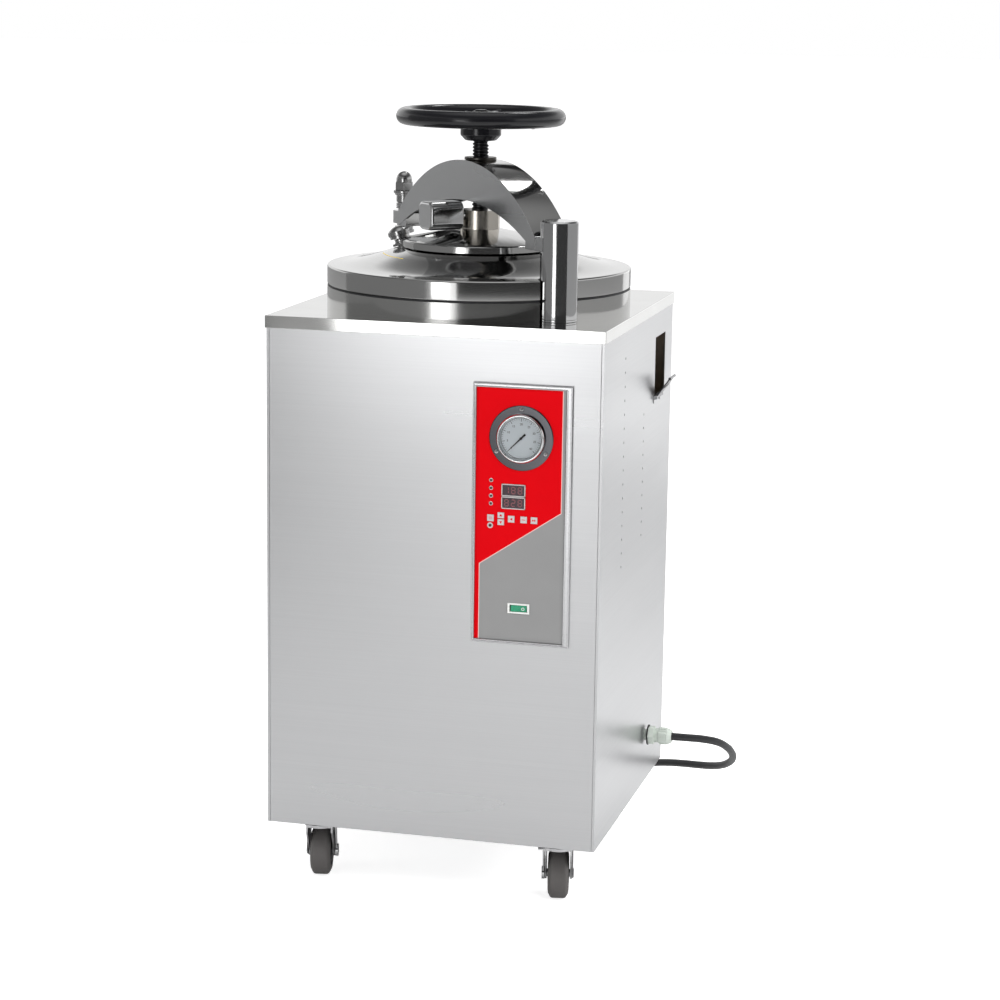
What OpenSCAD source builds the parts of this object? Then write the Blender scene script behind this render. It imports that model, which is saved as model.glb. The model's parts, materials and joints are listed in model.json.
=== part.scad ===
// Vertical top-loading steam autoclave on casters, with a swing-over beam and a handwheel lid.
// +X is the machine's right, +Y its back and +Z up. The origin is on the floor, under the
// middle of the cabinet. Heights called h are measured up from the top of the deck.

/* [Cabinet] */
// Width of the cabinet over its side panels
body_w = 500; // [480:10:640]
// Depth of the cabinet over its front and back panels
body_d = 500; // [480:10:640]
// Height from the underside of the cabinet to the top of the deck
body_h = 762; // [700:2:960]
// Thickness of the panel sheet
sheet_t = 1.2; // [0.8:0.1:2]
// Width of the side panels' folded edges at the front and back
fold_w = 3.6; // [2.4:0.2:8]
// Open seam between the front or back panel and the folded edges
seam = 0.5; // [0.3:0.1:1.5]
// Thickness of the deck sheet
deck_t = 2; // [1.5:0.5:3]
// How far the deck stands out past the panels
deck_over = 2; // [1:0.5:5]
// Depth of the deck's turned-down lip
lip_h = 18; // [10:1:30]
// Leg width of the frame's angle iron
angle_w = 30; // [20:5:40]
// Thickness of the frame's angle iron
angle_t = 3; // [2:0.5:5]

/* [Side cut-outs and vents] */
// Width of the side cut-out
cut_w = 77; // [50:1:100]
// Height of the side cut-out
cut_h = 90; // [60:1:120]
// Distance from the back of the cabinet to the cut-out
cut_back = 55; // [45:1:80]
// Distance from the deck down to the top of the cut-out
cut_drop = 56; // [40:1:100]
// Width of the hinged side handle
flap_w = 40; // [30:1:70]
// Length of the hinged side handle
flap_l = 36; // [25:1:45]
// Rest angle of the side handle, out from upright
flap_lean = 35; // [10:1:50]
// Spacing of the vent holes in a column
vent_pitch = 20.7; // [15:0.1:30]
// Radius of a vent hole
vent_r = 2; // [1:0.5:4]

/* [Control panel] */
// Distance from the machine's middle to the bezel's left edge
bezel_x = 60.8; // [30:0.2:80]
// Distance from the deck down to the bezel's top edge
bezel_drop = 79.5; // [60:0.5:140]
// Width of the bezel
bezel_w = 146.2; // [140:0.2:170]
// Height of the bezel
bezel_h = 380; // [370:1:420]
// How far the bezel stands out of the front panel
bezel_proud = 4; // [3:0.5:8]
// Width of the bezel's left and bottom rims
rim_thin = 5.5; // [4:0.5:9]
// Width of the bezel's right rim
rim_wide = 9.5; // [5:0.5:14]
// Width of the bezel's top rim
rim_top = 7.5; // [4:0.5:12]
// Thickness of the fascia plate
fascia_t = 2; // [1.5:0.5:2.5]
// Radius of the pressure gauge's case
gauge_r = 35.5; // [30:0.5:38]
// Radius of the pressure gauge's mounting flange
gauge_flange_r = 47; // [42:0.5:50]
// Travel of a key
key_travel = 0.6; // [0.3:0.1:1]
// Side of a key's face
key_s = 9.5; // [8:0.1:10]

/* [Chamber] */
// Inner radius of the pressure chamber
chamber_r = 170; // [140:1:175]
// Depth of the chamber's straight wall below the deck
chamber_d = 480; // [380:5:520]
// Thickness of the chamber wall
chamber_t = 2; // [1.5:0.5:4]
// Width of the chamber's flange, outside the chamber
flange_w = 58; // [50:1:60]
// Height of the chamber's flange above the deck
flange_h = 27; // [20:1:40]
// Thickness of the insulation
jacket_t = 33; // [15:1:40]

/* [Lid] */
// Thickness of the seal above the flange
seal_t = 2.9; // [2:0.1:5]
// Height of the lid's skirt
skirt_h = 28.4; // [22:0.2:40]
// Outer radius of the cover disc
disc_r = 115; // [90:1:130]
// Radius of the lid's boss
boss_r = 30; // [28:1:40]
// Thickness of the domed lid plate
dome_t = 6; // [4:0.5:10]
// How far the lid lifts off its seal
lift = 12.5; // [5:0.5:12.5]

/* [Beam, post and spindle] */
// Radius of the pivot post
post_r = 27.4; // [24:0.2:32]
// Radius of the fixed shaft inside the post
shaft_r = 19; // [14:0.5:20]
// Height of the post above the deck
post_h = 144; // [130:1:170]
// Width of the beam over its side plates
beam_w = 58; // [54:1:70]
// Thickness of the beam's plates
beam_t = 5; // [4:0.5:8]
// Height of the beam's crown above the deck
crown_h = 215; // [205:1:240]
// Height of the beam's underside, at its middle, above the deck
under_h = 156; // [155:1:165]
// Height of the tongues' undersides above the deck
tongue_h = 100; // [92:1:105]
// Thickness of the tongues
tongue_t = 20; // [12:1:25]
// Radius of the spindle over its thread
spindle_r = 12; // [10:0.5:14]
// Pitch of the spindle's thread
thread_pitch = 5; // [3:0.5:6]
// Outer radius of the handwheel
wheel_r = 126.5; // [90:0.5:150]
// Radius of the handwheel's rim tube
rim_r = 12.5; // [8:0.5:15]
// Height of the handwheel's rim above the deck
wheel_h = 279; // [270:1:300]
// Radius of the lock bolt's shank
bolt_r = 9; // [7:0.5:10]

/* [Casters] */
// Height from the floor to the underside of the cabinet
caster_h = 100; // [96:1:130]
// Radius of a caster wheel
caster_r = 37.5; // [30:0.5:38]
// Width of a caster wheel
caster_w = 32; // [24:1:34]
// Distance from the machine's middle to a swivel axis, sideways
swivel_x = 185; // [160:1:190]
// Distance from the machine's middle to a swivel axis, front to back
swivel_y = 195; // [160:1:203]
// Offset of the wheel's axle from the swivel axis
trail = 20; // [15:1:30]
// Direction that the casters have rolled to, turned from straight ahead
caster_turn = 12; // [0:1:30]
// How far the rear casters are turned
rear_turn = 102; // [60:1:120]

/* [Mains cord] */
// Diameter of the mains cord
cord_d = 12; // [9:0.5:12]
// Mean radius of the stored coil
coil_r = 67; // [62:1:72]
// Number of turns in the stored coil
coil_turns = 3; // [2:1:4]

/* [Hidden] */
$fn = 96;
// Running clearance of a shaft in its hole, on the radius
run_gap = 0.05;
// Clearance between faces of pieces that move past each other
slide_gap = 0.3;
// Clearance between pieces that are only laid together
lay_gap = 0.2;

deck_z = caster_h + body_h;
panel_top = deck_z - deck_t;
half_w = body_w / 2;
half_d = body_d / 2;
in_w = half_w - sheet_t;
in_d = half_d - sheet_t;
front_y = -half_d;

// Chamber, flange, seal and lid radii and heights
vessel_r = chamber_r + chamber_t;
flange_r = chamber_r + flange_w;
seal_top = flange_h + seal_t - lay_gap;
lid_h0 = flange_h + seal_t + lay_gap;
skirt_top = lid_h0 + skirt_h;
dish_r = chamber_r * 1.88;
dish_h = dish_r - sqrt(dish_r * dish_r - chamber_r * chamber_r);
dome_edge_r = flange_r - 50;
blend_r0 = dome_edge_r - 38;
blend_r1 = flange_r - 12;
dome_edge_h = skirt_top + 3.3;
dome_rise = 37;
dome_r = (dome_edge_r * dome_edge_r + dome_rise * dome_rise) / (2 * dome_rise);
dome_top = dome_edge_h + dome_rise;
dome_ch = dome_top - dome_r;
disc_t = 3;
disc_rim_h = dome_h(disc_r) + 9;
disc_lip_h = dome_h(disc_r) + 2;
disc_top_h = dome_top + 14;
boss_top = disc_top_h + 28;

// The beam's line, and the arcs of its outer and inner edges
beam_az = -45;
pivot_s = flange_r;
bolt_s = flange_r + bolt_r + 1.5;
notch_gap = 2.5;
tongue_top = tongue_h + tongue_t;
shoulder_s = pivot_s - 22.4;
outer_rise = crown_h - tongue_top;
outer_r = (shoulder_s * shoulder_s + outer_rise * outer_rise) / (2 * outer_rise);
under_rise = under_h - tongue_h;
foot_s = pivot_s - 26.2;
under_r = (foot_s * foot_s + under_rise * under_rise) / (2 * under_rise);
nut_r = 21;
sleeve_gap_h = 3;

// Control panel
bezel_z1 = deck_z - bezel_drop;
bezel_z0 = bezel_z1 - bezel_h;
fascia_x0 = bezel_x + rim_thin;
fascia_x1 = bezel_x + bezel_w - rim_wide;
fascia_z0 = bezel_z0 + rim_thin;
fascia_z1 = bezel_z1 - rim_top;
fascia_y = front_y - fascia_t;
gauge_x = fascia_x0 + 66.1;
gauge_z = fascia_z1 - 70.6;
lamp_x = fascia_x0 + 22.7;
lamp_z = fascia_z1 - 133.6;
lamp_pitch = 11.3;
display_x = fascia_x0 + 55.7;
display_z = fascia_z1 - 155.9;
display_w = 35;
display_h = 17.6;
switch_x = fascia_x0 + 65.7;
switch_z = fascia_z0 + 48;
switch_w = 32.4;
switch_h = 15;
rocker_tilt = 7;
// Key centres from the fascia's top left corner: cycle, up, down, shift, clear and start
KEYS = [[22.4, -188.6], [37.7, -184], [37.7, -194], [53, -188.6], [71.3, -188.6], [86.5, -188.6]];
ring_lamp = [22, -199.5];
small_key_h = 8.4;
board_y = front_y + 14;
board_t = 1.6;

// Side cut-outs
cut_y0 = half_d - cut_back - cut_w;
cut_z1 = deck_z - cut_drop;
cut_z0 = cut_z1 - cut_h;
flap_y = cut_y0 + 17;
hinge_x = half_w + 3.2;
hinge_z = cut_z0 - 2;
hinge_pin_r = 1.5;
gland_y = 112;
gland_z = 177;
gland_r = 11;
gland_l = 43;

// Casters
axle_r = 6;
plate_t = 3;
plate_s = 64;
king_r = 5;
fork_t = 2.5;
fork_gap = 1.5;
crown_z0 = caster_h - 16;
crown_z1 = caster_h - 11.5;
CORNERS = [[1, -1], [-1, -1], [1, 1], [-1, 1]];

// Cord: it leaves the gland, drops behind the cabinet and lies on the floor up to the coil
cord_r = cord_d / 2;
CORD = [[293, 112, 177], [318, 113, 177], [342, 119, 175], [362, 134, 168], [373, 156, 155],
    [377, 182, 139], [375, 210, 122], [366, 237, 106], [350, 262, 92], [329, 285, 82],
    [303, 306, 75], [274, 326, 69], [244, 346, 62], [214, 365, 53], [183, 381, 41],
    [151, 395, 27], [119, 405, 14], [88, 410, 7], [60, 410, 6]];
coil_x = 60;
coil_y = 410 - coil_r;
coil_h = coil_turns * cord_d + cord_d;
// The cord's end climbs from the coil onto its top, where the plug lies
plug_z = coil_h + cord_r;
TAIL = [[60, 410, 42], [37, 405, 45], [18, 392, 49], [5, 373, 53], [0, 350, 54]];
plug_x = 0;
plug_y = 350;

// ---- Helpers ----

function dome_h(r) = dome_ch + sqrt(dome_r * dome_r - r * r);
function arc(cx, cy, r, a0, a1, n) = [for (i = [0:n]) let (a = a0 + (a1 - a0) * i / n)
    [cx + r * cos(a), cy + r * sin(a)]];

module on_deck() { translate([0, 0, deck_z]) children(); }
module along_beam() { translate([0, 0, deck_z]) rotate([0, 0, beam_az]) children(); }

// A box given by its two corners
module box(lo, hi) { translate(lo) cube(hi - lo); }

// A round bar along +Y from y0 to y1
module bar_y(x, z, y0, y1, r) {
    translate([x, y1, z]) rotate([90, 0, 0]) cylinder(r = r, h = y1 - y0);
}

// A round bar along +X from x0 to x1
module bar_x(y, z, x0, x1, r) {
    translate([x0, y, z]) rotate([0, 90, 0]) cylinder(r = r, h = x1 - x0);
}

// An outline drawn in X and Z, and given thickness from y0 to y1
module slab(y0, y1) { translate([0, y1, 0]) rotate([90, 0, 0]) linear_extrude(y1 - y0) children(); }

module ring(r_out, r_in, h) {
    difference() {
        cylinder(r = r_out, h = h);
        translate([0, 0, -1]) cylinder(r = r_in, h = h + 2);
    }
}

module at_pivot() { rotate([0, 0, beam_az]) translate([pivot_s, 0, 0]) children(); }
module at_bolt() { rotate([0, 0, beam_az]) translate([-bolt_s, 0, 0]) children(); }

// Stands its children on the dome, square to it, at a radius and an angle
module on_dome(r, az) {
    rotate([0, 0, az]) translate([r, 0, dome_h(r)]) rotate([0, asin(r / dome_r), 0]) children();
}

// ---- Cabinet ----

module frame_ring(z, up) {
    leg_z = up ? z : z - angle_t;
    wall_z = up ? z : z - angle_w;
    difference() {
        box([-in_w, -in_d, leg_z], [in_w, in_d, leg_z + angle_t]);
        box([angle_w - in_w, angle_w - in_d, leg_z - 1],
            [in_w - angle_w, in_d - angle_w, leg_z + angle_t + 1]);
    }
    difference() {
        box([-in_w, -in_d, wall_z], [in_w, in_d, wall_z + angle_w]);
        box([angle_t - in_w, angle_t - in_d, wall_z - 1],
            [in_w - angle_t, in_d - angle_t, wall_z + angle_w + 1]);
    }
}

module base_frame() {
    color("silver") {
        frame_ring(caster_h, true);
        frame_ring(panel_top, false);
        for (c = CORNERS) scale([c[0], c[1], 1]) {
            box([in_w - angle_t, in_d - angle_w, caster_h], [in_w, in_d, panel_top]);
            box([in_w - angle_w, in_d - angle_t, caster_h], [in_w, in_d, panel_top]);
            difference() {
                box([swivel_x - 42, swivel_y - 42, caster_h], [in_w, in_d, caster_h + angle_t]);
                translate([swivel_x, swivel_y, 0]) caster_bolt_holes(caster_h - 1, angle_t + 2);
            }
        }
    }
}

module caster_bolt_holes(z, h) {
    for (x = [-1, 1], y = [-1, 1]) translate([x * 24, y * 24, z]) cylinder(r = 3.3, h = h);
}

module base_plate() {
    edge = angle_t + 1;
    z = caster_h + angle_t + lay_gap;
    color("silver") difference() {
        box([edge - in_w, edge - in_d, z], [in_w - edge, in_d - edge, z + 2]);
        for (c = CORNERS) scale([c[0], c[1], 1])
            box([in_w - angle_w - 1, in_d - angle_w - 1, z - 1], [in_w, in_d, z + 3]);
        for (x = [-2:2], y = [-1:1]) translate([x * 45, y * 45, z - 1]) cylinder(r = 8, h = 4);
    }
}

// A flat panel between the side panels' folded edges, standing at the front
module flat_panel() {
    w = half_w - fold_w - seam;
    box([-w, -half_d, caster_h], [w, -in_d, panel_top]);
}

module front_panel() {
    color("gainsboro") difference() {
        flat_panel();
        box([fascia_x0 + 4, -half_d - 1, fascia_z0 + 4], [fascia_x1 - 4, 1 - in_d, fascia_z1 - 4]);
    }
}

module back_panel() {
    color("gainsboro") difference() {
        mirror([0, 1, 0]) flat_panel();
        for (x = [-1, 1], i = [0:7])
            box([x * 90 - 50, in_d - 1, caster_h + 330 + i * 16],
                [x * 90 + 50, half_d + 1, caster_h + 336 + i * 16]);
        bar_y(drain_x, drain_z, in_d - 1, half_d + 1, pipe_r + lay_gap);
        bar_y(exhaust_x, exhaust_z, in_d - 1, half_d + 1, pipe_r + lay_gap);
    }
}

module side_panel(side) {
    color("silver") handle_ears(side);
    color("gainsboro") scale([side, 1, 1]) difference() {
        union() {
            box([in_w, -half_d, caster_h], [half_w, half_d, panel_top]);
            box([half_w - fold_w, -half_d, caster_h], [half_w, -in_d, panel_top]);
            box([half_w - fold_w, in_d, caster_h], [half_w, half_d, panel_top]);
        }
        box([in_w - 1, cut_y0, cut_z0], [half_w + 1, cut_y0 + cut_w, cut_z1]);
        for (i = [0:15]) vent_hole(-104, deck_z - 58 - i * vent_pitch);
        for (i = [0:9]) vent_hole(40, deck_z - 163 - i * vent_pitch);
        if (side > 0) bar_x(gland_y, gland_z, in_w - 1, half_w + 1, gland_r - 2);
    }
}

module vent_hole(y, z) { bar_x(y, z, in_w - 1, half_w + 1, vent_r); }

module left_panel() { side_panel(-1); }
module right_panel() { side_panel(1); }

module deck_plate() {
    w = half_w + deck_over;
    d = half_d + deck_over;
    lip_t = deck_over - seam;
    color("whitesmoke") difference() {
        box([-w, -d, deck_z - lip_h], [w, d, deck_z]);
        box([lip_t - w, lip_t - d, deck_z - lip_h - 1], [w - lip_t, d - lip_t, panel_top]);
        translate([0, 0, panel_top - 1]) cylinder(r = vessel_r + 4, h = deck_t + 2);
        on_deck() at_pivot() translate([0, 0, -deck_t - 1]) cylinder(r = shaft_r + lay_gap, h = 9);
        on_deck() at_bolt() translate([0, 0, -deck_t - 1]) cylinder(r = bolt_r + lay_gap, h = 9);
    }
}

// The side handle: a chromed flap that hinges on a pin along Y, between two riveted ears
module side_handle(side) {
    color("lightgray") scale([side, 1, 1]) translate([hinge_x, flap_y, hinge_z])
        rotate([0, flap_lean, 0]) {
            difference() {
                union() {
                    box([-1, -flap_w / 2, 4], [1, flap_w / 2, flap_l]);
                    translate([0, flap_w / 2, flap_l]) rotate([90, 0, 0]) cylinder(r = 2.2, h = flap_w);
                    box([-1, -20, -0.5], [1, 20, 5]);
                    translate([0, 20, 0]) rotate([90, 0, 0]) cylinder(r = 2.8, h = 40);
                }
                translate([0, 21, 0]) rotate([90, 0, 0]) cylinder(r = hinge_pin_r + run_gap, h = 42);
                for (y = [-1, 0, 1]) translate([-2, y * flap_w * 0.3, flap_l * 0.55]) rotate([0, 90, 0])
                    cylinder(r = 4, h = 4);
            }
        }
}

// The ears and pin that carry a side handle
module handle_ears(side) {
    scale([side, 1, 1]) {
        for (y = [-1, 1]) {
            y0 = flap_y + y * 22.5 - 2;
            box([half_w, y0, hinge_z - 9], [half_w + 1.4, y0 + 4, hinge_z + 1]);
            bar_y(hinge_x, hinge_z, y0, y0 + 4, 3);
            box([half_w, y0, hinge_z - 3], [hinge_x, y0 + 4, hinge_z]);
        }
        bar_y(hinge_x, hinge_z, flap_y - 22, flap_y + 22, hinge_pin_r);
    }
}

module side_handle_right() { side_handle(1); }
module side_handle_left() { side_handle(-1); }

// ---- Control panel ----

module control_bezel() {
    y0 = front_y - bezel_proud;
    color("silver") difference() {
        union() {
            box([bezel_x, y0 + 1.5, bezel_z0], [bezel_x + bezel_w, front_y, bezel_z1]);
            box([bezel_x + 1.5, y0, bezel_z0 + 1.5], [bezel_x + bezel_w - 1.5, front_y, bezel_z1 - 1.5]);
        }
        box([fascia_x0 - lay_gap, y0 - 1, fascia_z0 - lay_gap],
            [fascia_x1 + lay_gap, front_y + 1, fascia_z1 + lay_gap]);
    }
}

module fascia_hole(x, z, w, h) {
    box([x - w / 2, fascia_y - 1, z - h / 2], [x + w / 2, front_y + 1, z + h / 2]);
}

module control_fascia() {
    color("darkgray") difference() {
        box([fascia_x0, fascia_y, fascia_z0], [fascia_x1, front_y, fascia_z1]);
        bar_y(gauge_x, gauge_z, fascia_y - 1, front_y + 1, gauge_r + lay_gap);
        for (i = [0:3]) bar_y(lamp_x, lamp_z - i * lamp_pitch, fascia_y - 1, front_y + 1, 2.3);
        bar_y(fascia_x0 + ring_lamp[0], fascia_z1 + ring_lamp[1], fascia_y - 1, front_y + 1, 2.3);
        fascia_hole(display_x, display_z, display_w + 0.4, 2 * display_h + 1.4);
        for (i = [0:5]) fascia_hole(fascia_x0 + KEYS[i][0], fascia_z1 + KEYS[i][1],
            key_s + 0.6, key_size(i) + 0.6);
        fascia_hole(switch_x, switch_z, switch_w - 3.6, switch_h - 2.8);
    }
}

function key_size(i) = (i == 1 || i == 2) ? small_key_h : key_s;

// A key: a face flush in the fascia, and a stem that reaches back to its contact on the board
module key(i) {
    x = fascia_x0 + KEYS[i][0];
    z = fascia_z1 + KEYS[i][1];
    h = key_size(i);
    color("lightgray") {
        box([x - key_s / 2, fascia_y - 0.8, z - h / 2], [x + key_s / 2, fascia_y + 1.6, z + h / 2]);
        bar_y(x, z, fascia_y + 1.6, board_y - 2.5 - key_travel - slide_gap, 2);
    }
}

module key_cycle() { key(0); }
module key_up() { key(1); }
module key_down() { key(2); }
module key_shift() { key(3); }
module key_clear() { key(4); }
module key_start() { key(5); }

// The board, its two displays, its lamps and the contact under each key
module control_board() {
    color("green") {
        box([fascia_x0 + 12, board_y, fascia_z1 - 208], [fascia_x1 - 12, board_y + board_t, fascia_z1 - 124]);
        for (s = [-1, 1]) {
            z = display_z + s * (display_h / 2 + 0.4);
            box([display_x - display_w / 2, fascia_y - 0.4, z - display_h / 2],
                [display_x + display_w / 2, board_y, z + display_h / 2]);
        }
        for (i = [0:3]) bar_y(lamp_x, lamp_z - i * lamp_pitch, fascia_y - 0.8, board_y, 2);
        bar_y(fascia_x0 + ring_lamp[0], fascia_z1 + ring_lamp[1], fascia_y - 0.8, board_y, 2);
        for (k = KEYS) bar_y(fascia_x0 + k[0], fascia_z1 + k[1], board_y - 2.5, board_y, 1.8);
        for (x = [18, bezel_w - 33]) bar_y(fascia_x0 + x, fascia_z1 - 130, front_y + 1.4, board_y, 3);
    }
}

// Positions of the gauge's pieces along its axis, from the fascia outwards
gauge_front = fascia_y - 10;
gauge_back = front_y + 34;
dial_y = fascia_y - 1.5;

module gauge_case() {
    color("silver") {
        difference() {
            union() {
                bar_y(gauge_x, gauge_z, gauge_front, gauge_back, gauge_r);
                bar_y(gauge_x, gauge_z, fascia_y - 2, fascia_y, gauge_flange_r);
                bar_y(gauge_x, gauge_z, gauge_back, gauge_back + 20, 7);
                for (a = [90, 210, 330])
                    bar_y(gauge_x + 41.5 * cos(a), gauge_z + 41.5 * sin(a), fascia_y - 3.6, fascia_y - 2, 3);
            }
            bar_y(gauge_x, gauge_z, gauge_front + 1.5, gauge_back - 2, gauge_r - 2);
            bar_y(gauge_x, gauge_z, gauge_front - 1, gauge_front + 2, gauge_r - 4);
            bar_y(gauge_x, gauge_z, gauge_back - 3, gauge_back + 21, 3);
        }
        // The curved pressure tube and its movement, behind the dial
        translate([gauge_x, front_y + 14, gauge_z]) rotate([90, 0, 0])
            rotate_extrude(angle = 270) translate([22, 0]) square([4, 8], center = true);
        bar_y(gauge_x, gauge_z, dial_y + 2, gauge_back - 2, 5);
    }
}

module gauge_dial() {
    color("white") difference() {
        bar_y(gauge_x, gauge_z, dial_y, dial_y + 1, gauge_r - 2.2);
        bar_y(gauge_x, gauge_z, dial_y - 1, dial_y + 2, 2.2);
    }
}

module gauge_glass() {
    color("lightblue") bar_y(gauge_x, gauge_z, gauge_front + 1.7, gauge_front + 4.2, gauge_r - 2.2);
}

// The needle at rest lies at the dial's lower left
module gauge_needle() {
    color("black") {
        translate([gauge_x, 0, gauge_z]) rotate([0, -225, 0]) slab(dial_y - 1.8, dial_y - 1)
            polygon([[-9, -1.6], [-9, 1.6], [0, 1.2], [26, 0.3], [26, -0.3], [0, -1.2]]);
        bar_y(gauge_x, gauge_z, dial_y - 2.4, dial_y + 1.6, 1.9);
    }
}

module switch_housing() {
    color("white") difference() {
        union() {
            box([switch_x - switch_w / 2, fascia_y - 1.6, switch_z - switch_h / 2],
                [switch_x + switch_w / 2, fascia_y, switch_z + switch_h / 2]);
            box([switch_x - switch_w / 2 + 2, fascia_y, switch_z - switch_h / 2 + 1.6],
                [switch_x + switch_w / 2 - 2, front_y + 22, switch_z + switch_h / 2 - 1.6]);
        }
        box([switch_x - 13, fascia_y - 2, switch_z - 5], [switch_x + 13, front_y + 12, switch_z + 5]);
    }
}

// The rocker tips about an upright pin, and rests with its left end pressed
module rocker_switch() {
    color("seagreen") translate([switch_x, fascia_y + 4, switch_z - 4.6]) rotate([0, 0, rocker_tilt])
        linear_extrude(9.2) polygon(concat([[-11.6, -5.4], [0, -4.2], [11.6, -5.4]],
            arc(0, 0, 8, 20, 160, 12)));
}

// ---- Chamber ----

module dish(r, z_extra) {
    translate([0, 0, -chamber_d]) intersection() {
        translate([0, 0, dish_r - dish_h]) sphere(r = dish_r + z_extra, $fn = 128);
        translate([0, 0, -dish_h - 10]) cylinder(r = r, h = dish_h + 10);
    }
}

module chamber_vessel() {
    color("silver") on_deck() difference() {
        union() {
            cylinder(r = flange_r, h = flange_h);
            translate([0, 0, -chamber_d]) cylinder(r = vessel_r, h = chamber_d + 1);
            dish(vessel_r, chamber_t);
        }
        translate([0, 0, -chamber_d]) cylinder(r = chamber_r, h = chamber_d + flange_h + 1);
        dish(chamber_r, 0);
        // Groove for the seal's bead
        translate([0, 0, flange_h - 3]) ring(seal_bead_r + 4, seal_bead_r - 4, 4);
        at_pivot() translate([0, 0, -1]) cylinder(r = post_r + notch_gap, h = flange_h + 2);
        drain_bore();
        for (a = heater_leg_az, b = [0, 180]) rotate([0, 0, a + b])
            translate([heater_r, 0, -chamber_d - 60]) cylinder(r = heater_leg_r + lay_gap, h = 60);
        rotate([0, 0, gauge_line_az]) bar_x(0, gauge_z - deck_z, chamber_r - 6, vessel_r + 1, 3.2);
        bar_y(exhaust_x, exhaust_top - deck_z, chamber_r - 40, vessel_r + 1, pipe_r + lay_gap);
    }
}

seal_bead_r = flange_r - 14;

module lid_seal() {
    color("dimgray") on_deck() difference() {
        union() {
            translate([0, 0, flange_h]) ring(flange_r - 0.5, seal_bead_r - 17, seal_top - flange_h);
            translate([0, 0, flange_h - 2.8]) ring(seal_bead_r + 3.8, seal_bead_r - 3.8, 3);
        }
        at_pivot() cylinder(r = post_r + notch_gap, h = flange_h + seal_t + 1);
    }
}

module insulation_jacket() {
    color("tan") on_deck() difference() {
        translate([0, 0, -chamber_d]) ring(vessel_r + jacket_t, vessel_r + 0.5, chamber_d - 22);
        rotate([0, 0, gauge_line_az]) bar_x(0, gauge_z - deck_z, vessel_r - 5, vessel_r + jacket_t + 5, 5);
        bar_y(exhaust_x, exhaust_top - deck_z, vessel_r - 30, vessel_r + jacket_t + 5, pipe_r + 1);
    }
}

heater_r = 110;
heater_h = -chamber_d - 8;
heater_tube_r = 5;
heater_leg_r = 4.4;
heater_sweep = 160;
heater_leg_az = [4, heater_sweep - 4];

// Two half loops of heating tube, whose ends pass down through the chamber's bottom
module heating_element() {
    color("dimgray") on_deck() for (s = [0, 180]) rotate([0, 0, s]) {
        translate([0, 0, heater_h]) rotate_extrude(angle = heater_sweep)
            translate([heater_r, 0]) circle(r = heater_tube_r, $fn = 32);
        for (a = heater_leg_az) rotate([0, 0, a]) translate([heater_r, 0, heater_h - 62])
            cylinder(r = heater_leg_r, h = 62);
    }
}

stand_h = -chamber_d + 14;

module basket_stand() {
    leg_r = chamber_r - 28;
    color("silver") on_deck() {
        difference() {
            translate([0, 0, stand_h]) cylinder(r = chamber_r - 8, h = 2);
            for (n = [6, 12], i = [0:n - 1]) rotate([0, 0, i * 360 / n])
                translate([n * 10, 0, stand_h - 1]) cylinder(r = 12, h = 4);
        }
        for (a = [30:120:270]) rotate([0, 0, a]) translate([leg_r, 0, 0]) {
            foot = -chamber_d + dish_r - dish_h - sqrt(dish_r * dish_r - pow(leg_r + 4, 2));
            translate([0, 0, foot + lay_gap]) cylinder(r = 4, h = stand_h - foot - lay_gap);
        }
    }
}

basket_r = chamber_r - 9;
basket_h = 400;

// A plain-walled pail, so that a burst bag or a spill stays in it
module basket() {
    z = stand_h + 2 + lay_gap;
    color("silver") on_deck() difference() {
        union() {
            translate([0, 0, z]) cylinder(r = basket_r, h = basket_h);
            translate([0, 0, z + basket_h - 6]) cylinder(r = basket_r + 2.5, h = 6);
        }
        translate([0, 0, z + 1.5]) cylinder(r = basket_r - 1.5, h = basket_h);
    }
}

// ---- Pipes and electrics ----

pipe_r = 8;
pipe_in = 6;
drain_x = 0;
drain_z = caster_h + 75;
exhaust_x = -60;
exhaust_z = caster_h + 240;
exhaust_top = deck_z - 90;
exhaust_y = vessel_r + jacket_t + 20;
block_r = 11;
stub_l = 14;
valve_w = 28;
valve_l = 54;
valve_tall = 44;
valve_up = 150;
gauge_end_y = gauge_back + 20;
gauge_line_az = atan2(gauge_end_y + 8, gauge_x);
gauge_line_r = norm([gauge_end_y + 8, gauge_x]);

module drain_bore() { translate([0, 0, -chamber_d - dish_h - 20]) cylinder(r = pipe_r + lay_gap, h = 30); }

module elbow(r_bend) {
    rotate_extrude(angle = 90) translate([r_bend, 0]) difference() {
        circle(r = pipe_r, $fn = 48);
        circle(r = pipe_in, $fn = 48);
    }
}

module pipe(l) { ring(pipe_r, pipe_in, l); }

// Drain pipe from the middle of the chamber's bottom to a capped outlet at the back
module drain_line() {
    bottom = deck_z - chamber_d - dish_h;
    bend = 30;
    color("goldenrod") {
        translate([0, 0, drain_z + bend]) pipe(bottom - drain_z - bend - lay_gap);
        translate([0, bend, drain_z + bend]) rotate([90, 0, 90]) rotate([0, 0, 180]) elbow(bend);
        translate([0, bend, drain_z]) rotate([-90, 0, 0]) pipe(half_d - bend);
        translate([0, half_d + 0.4, drain_z]) rotate([-90, 0, 0]) cylinder(r = 15, h = 9.6, $fn = 6);
    }
}

module elbow_block(z) {
    translate([exhaust_x, exhaust_y, z]) cube(2 * block_r, center = true);
}

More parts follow.
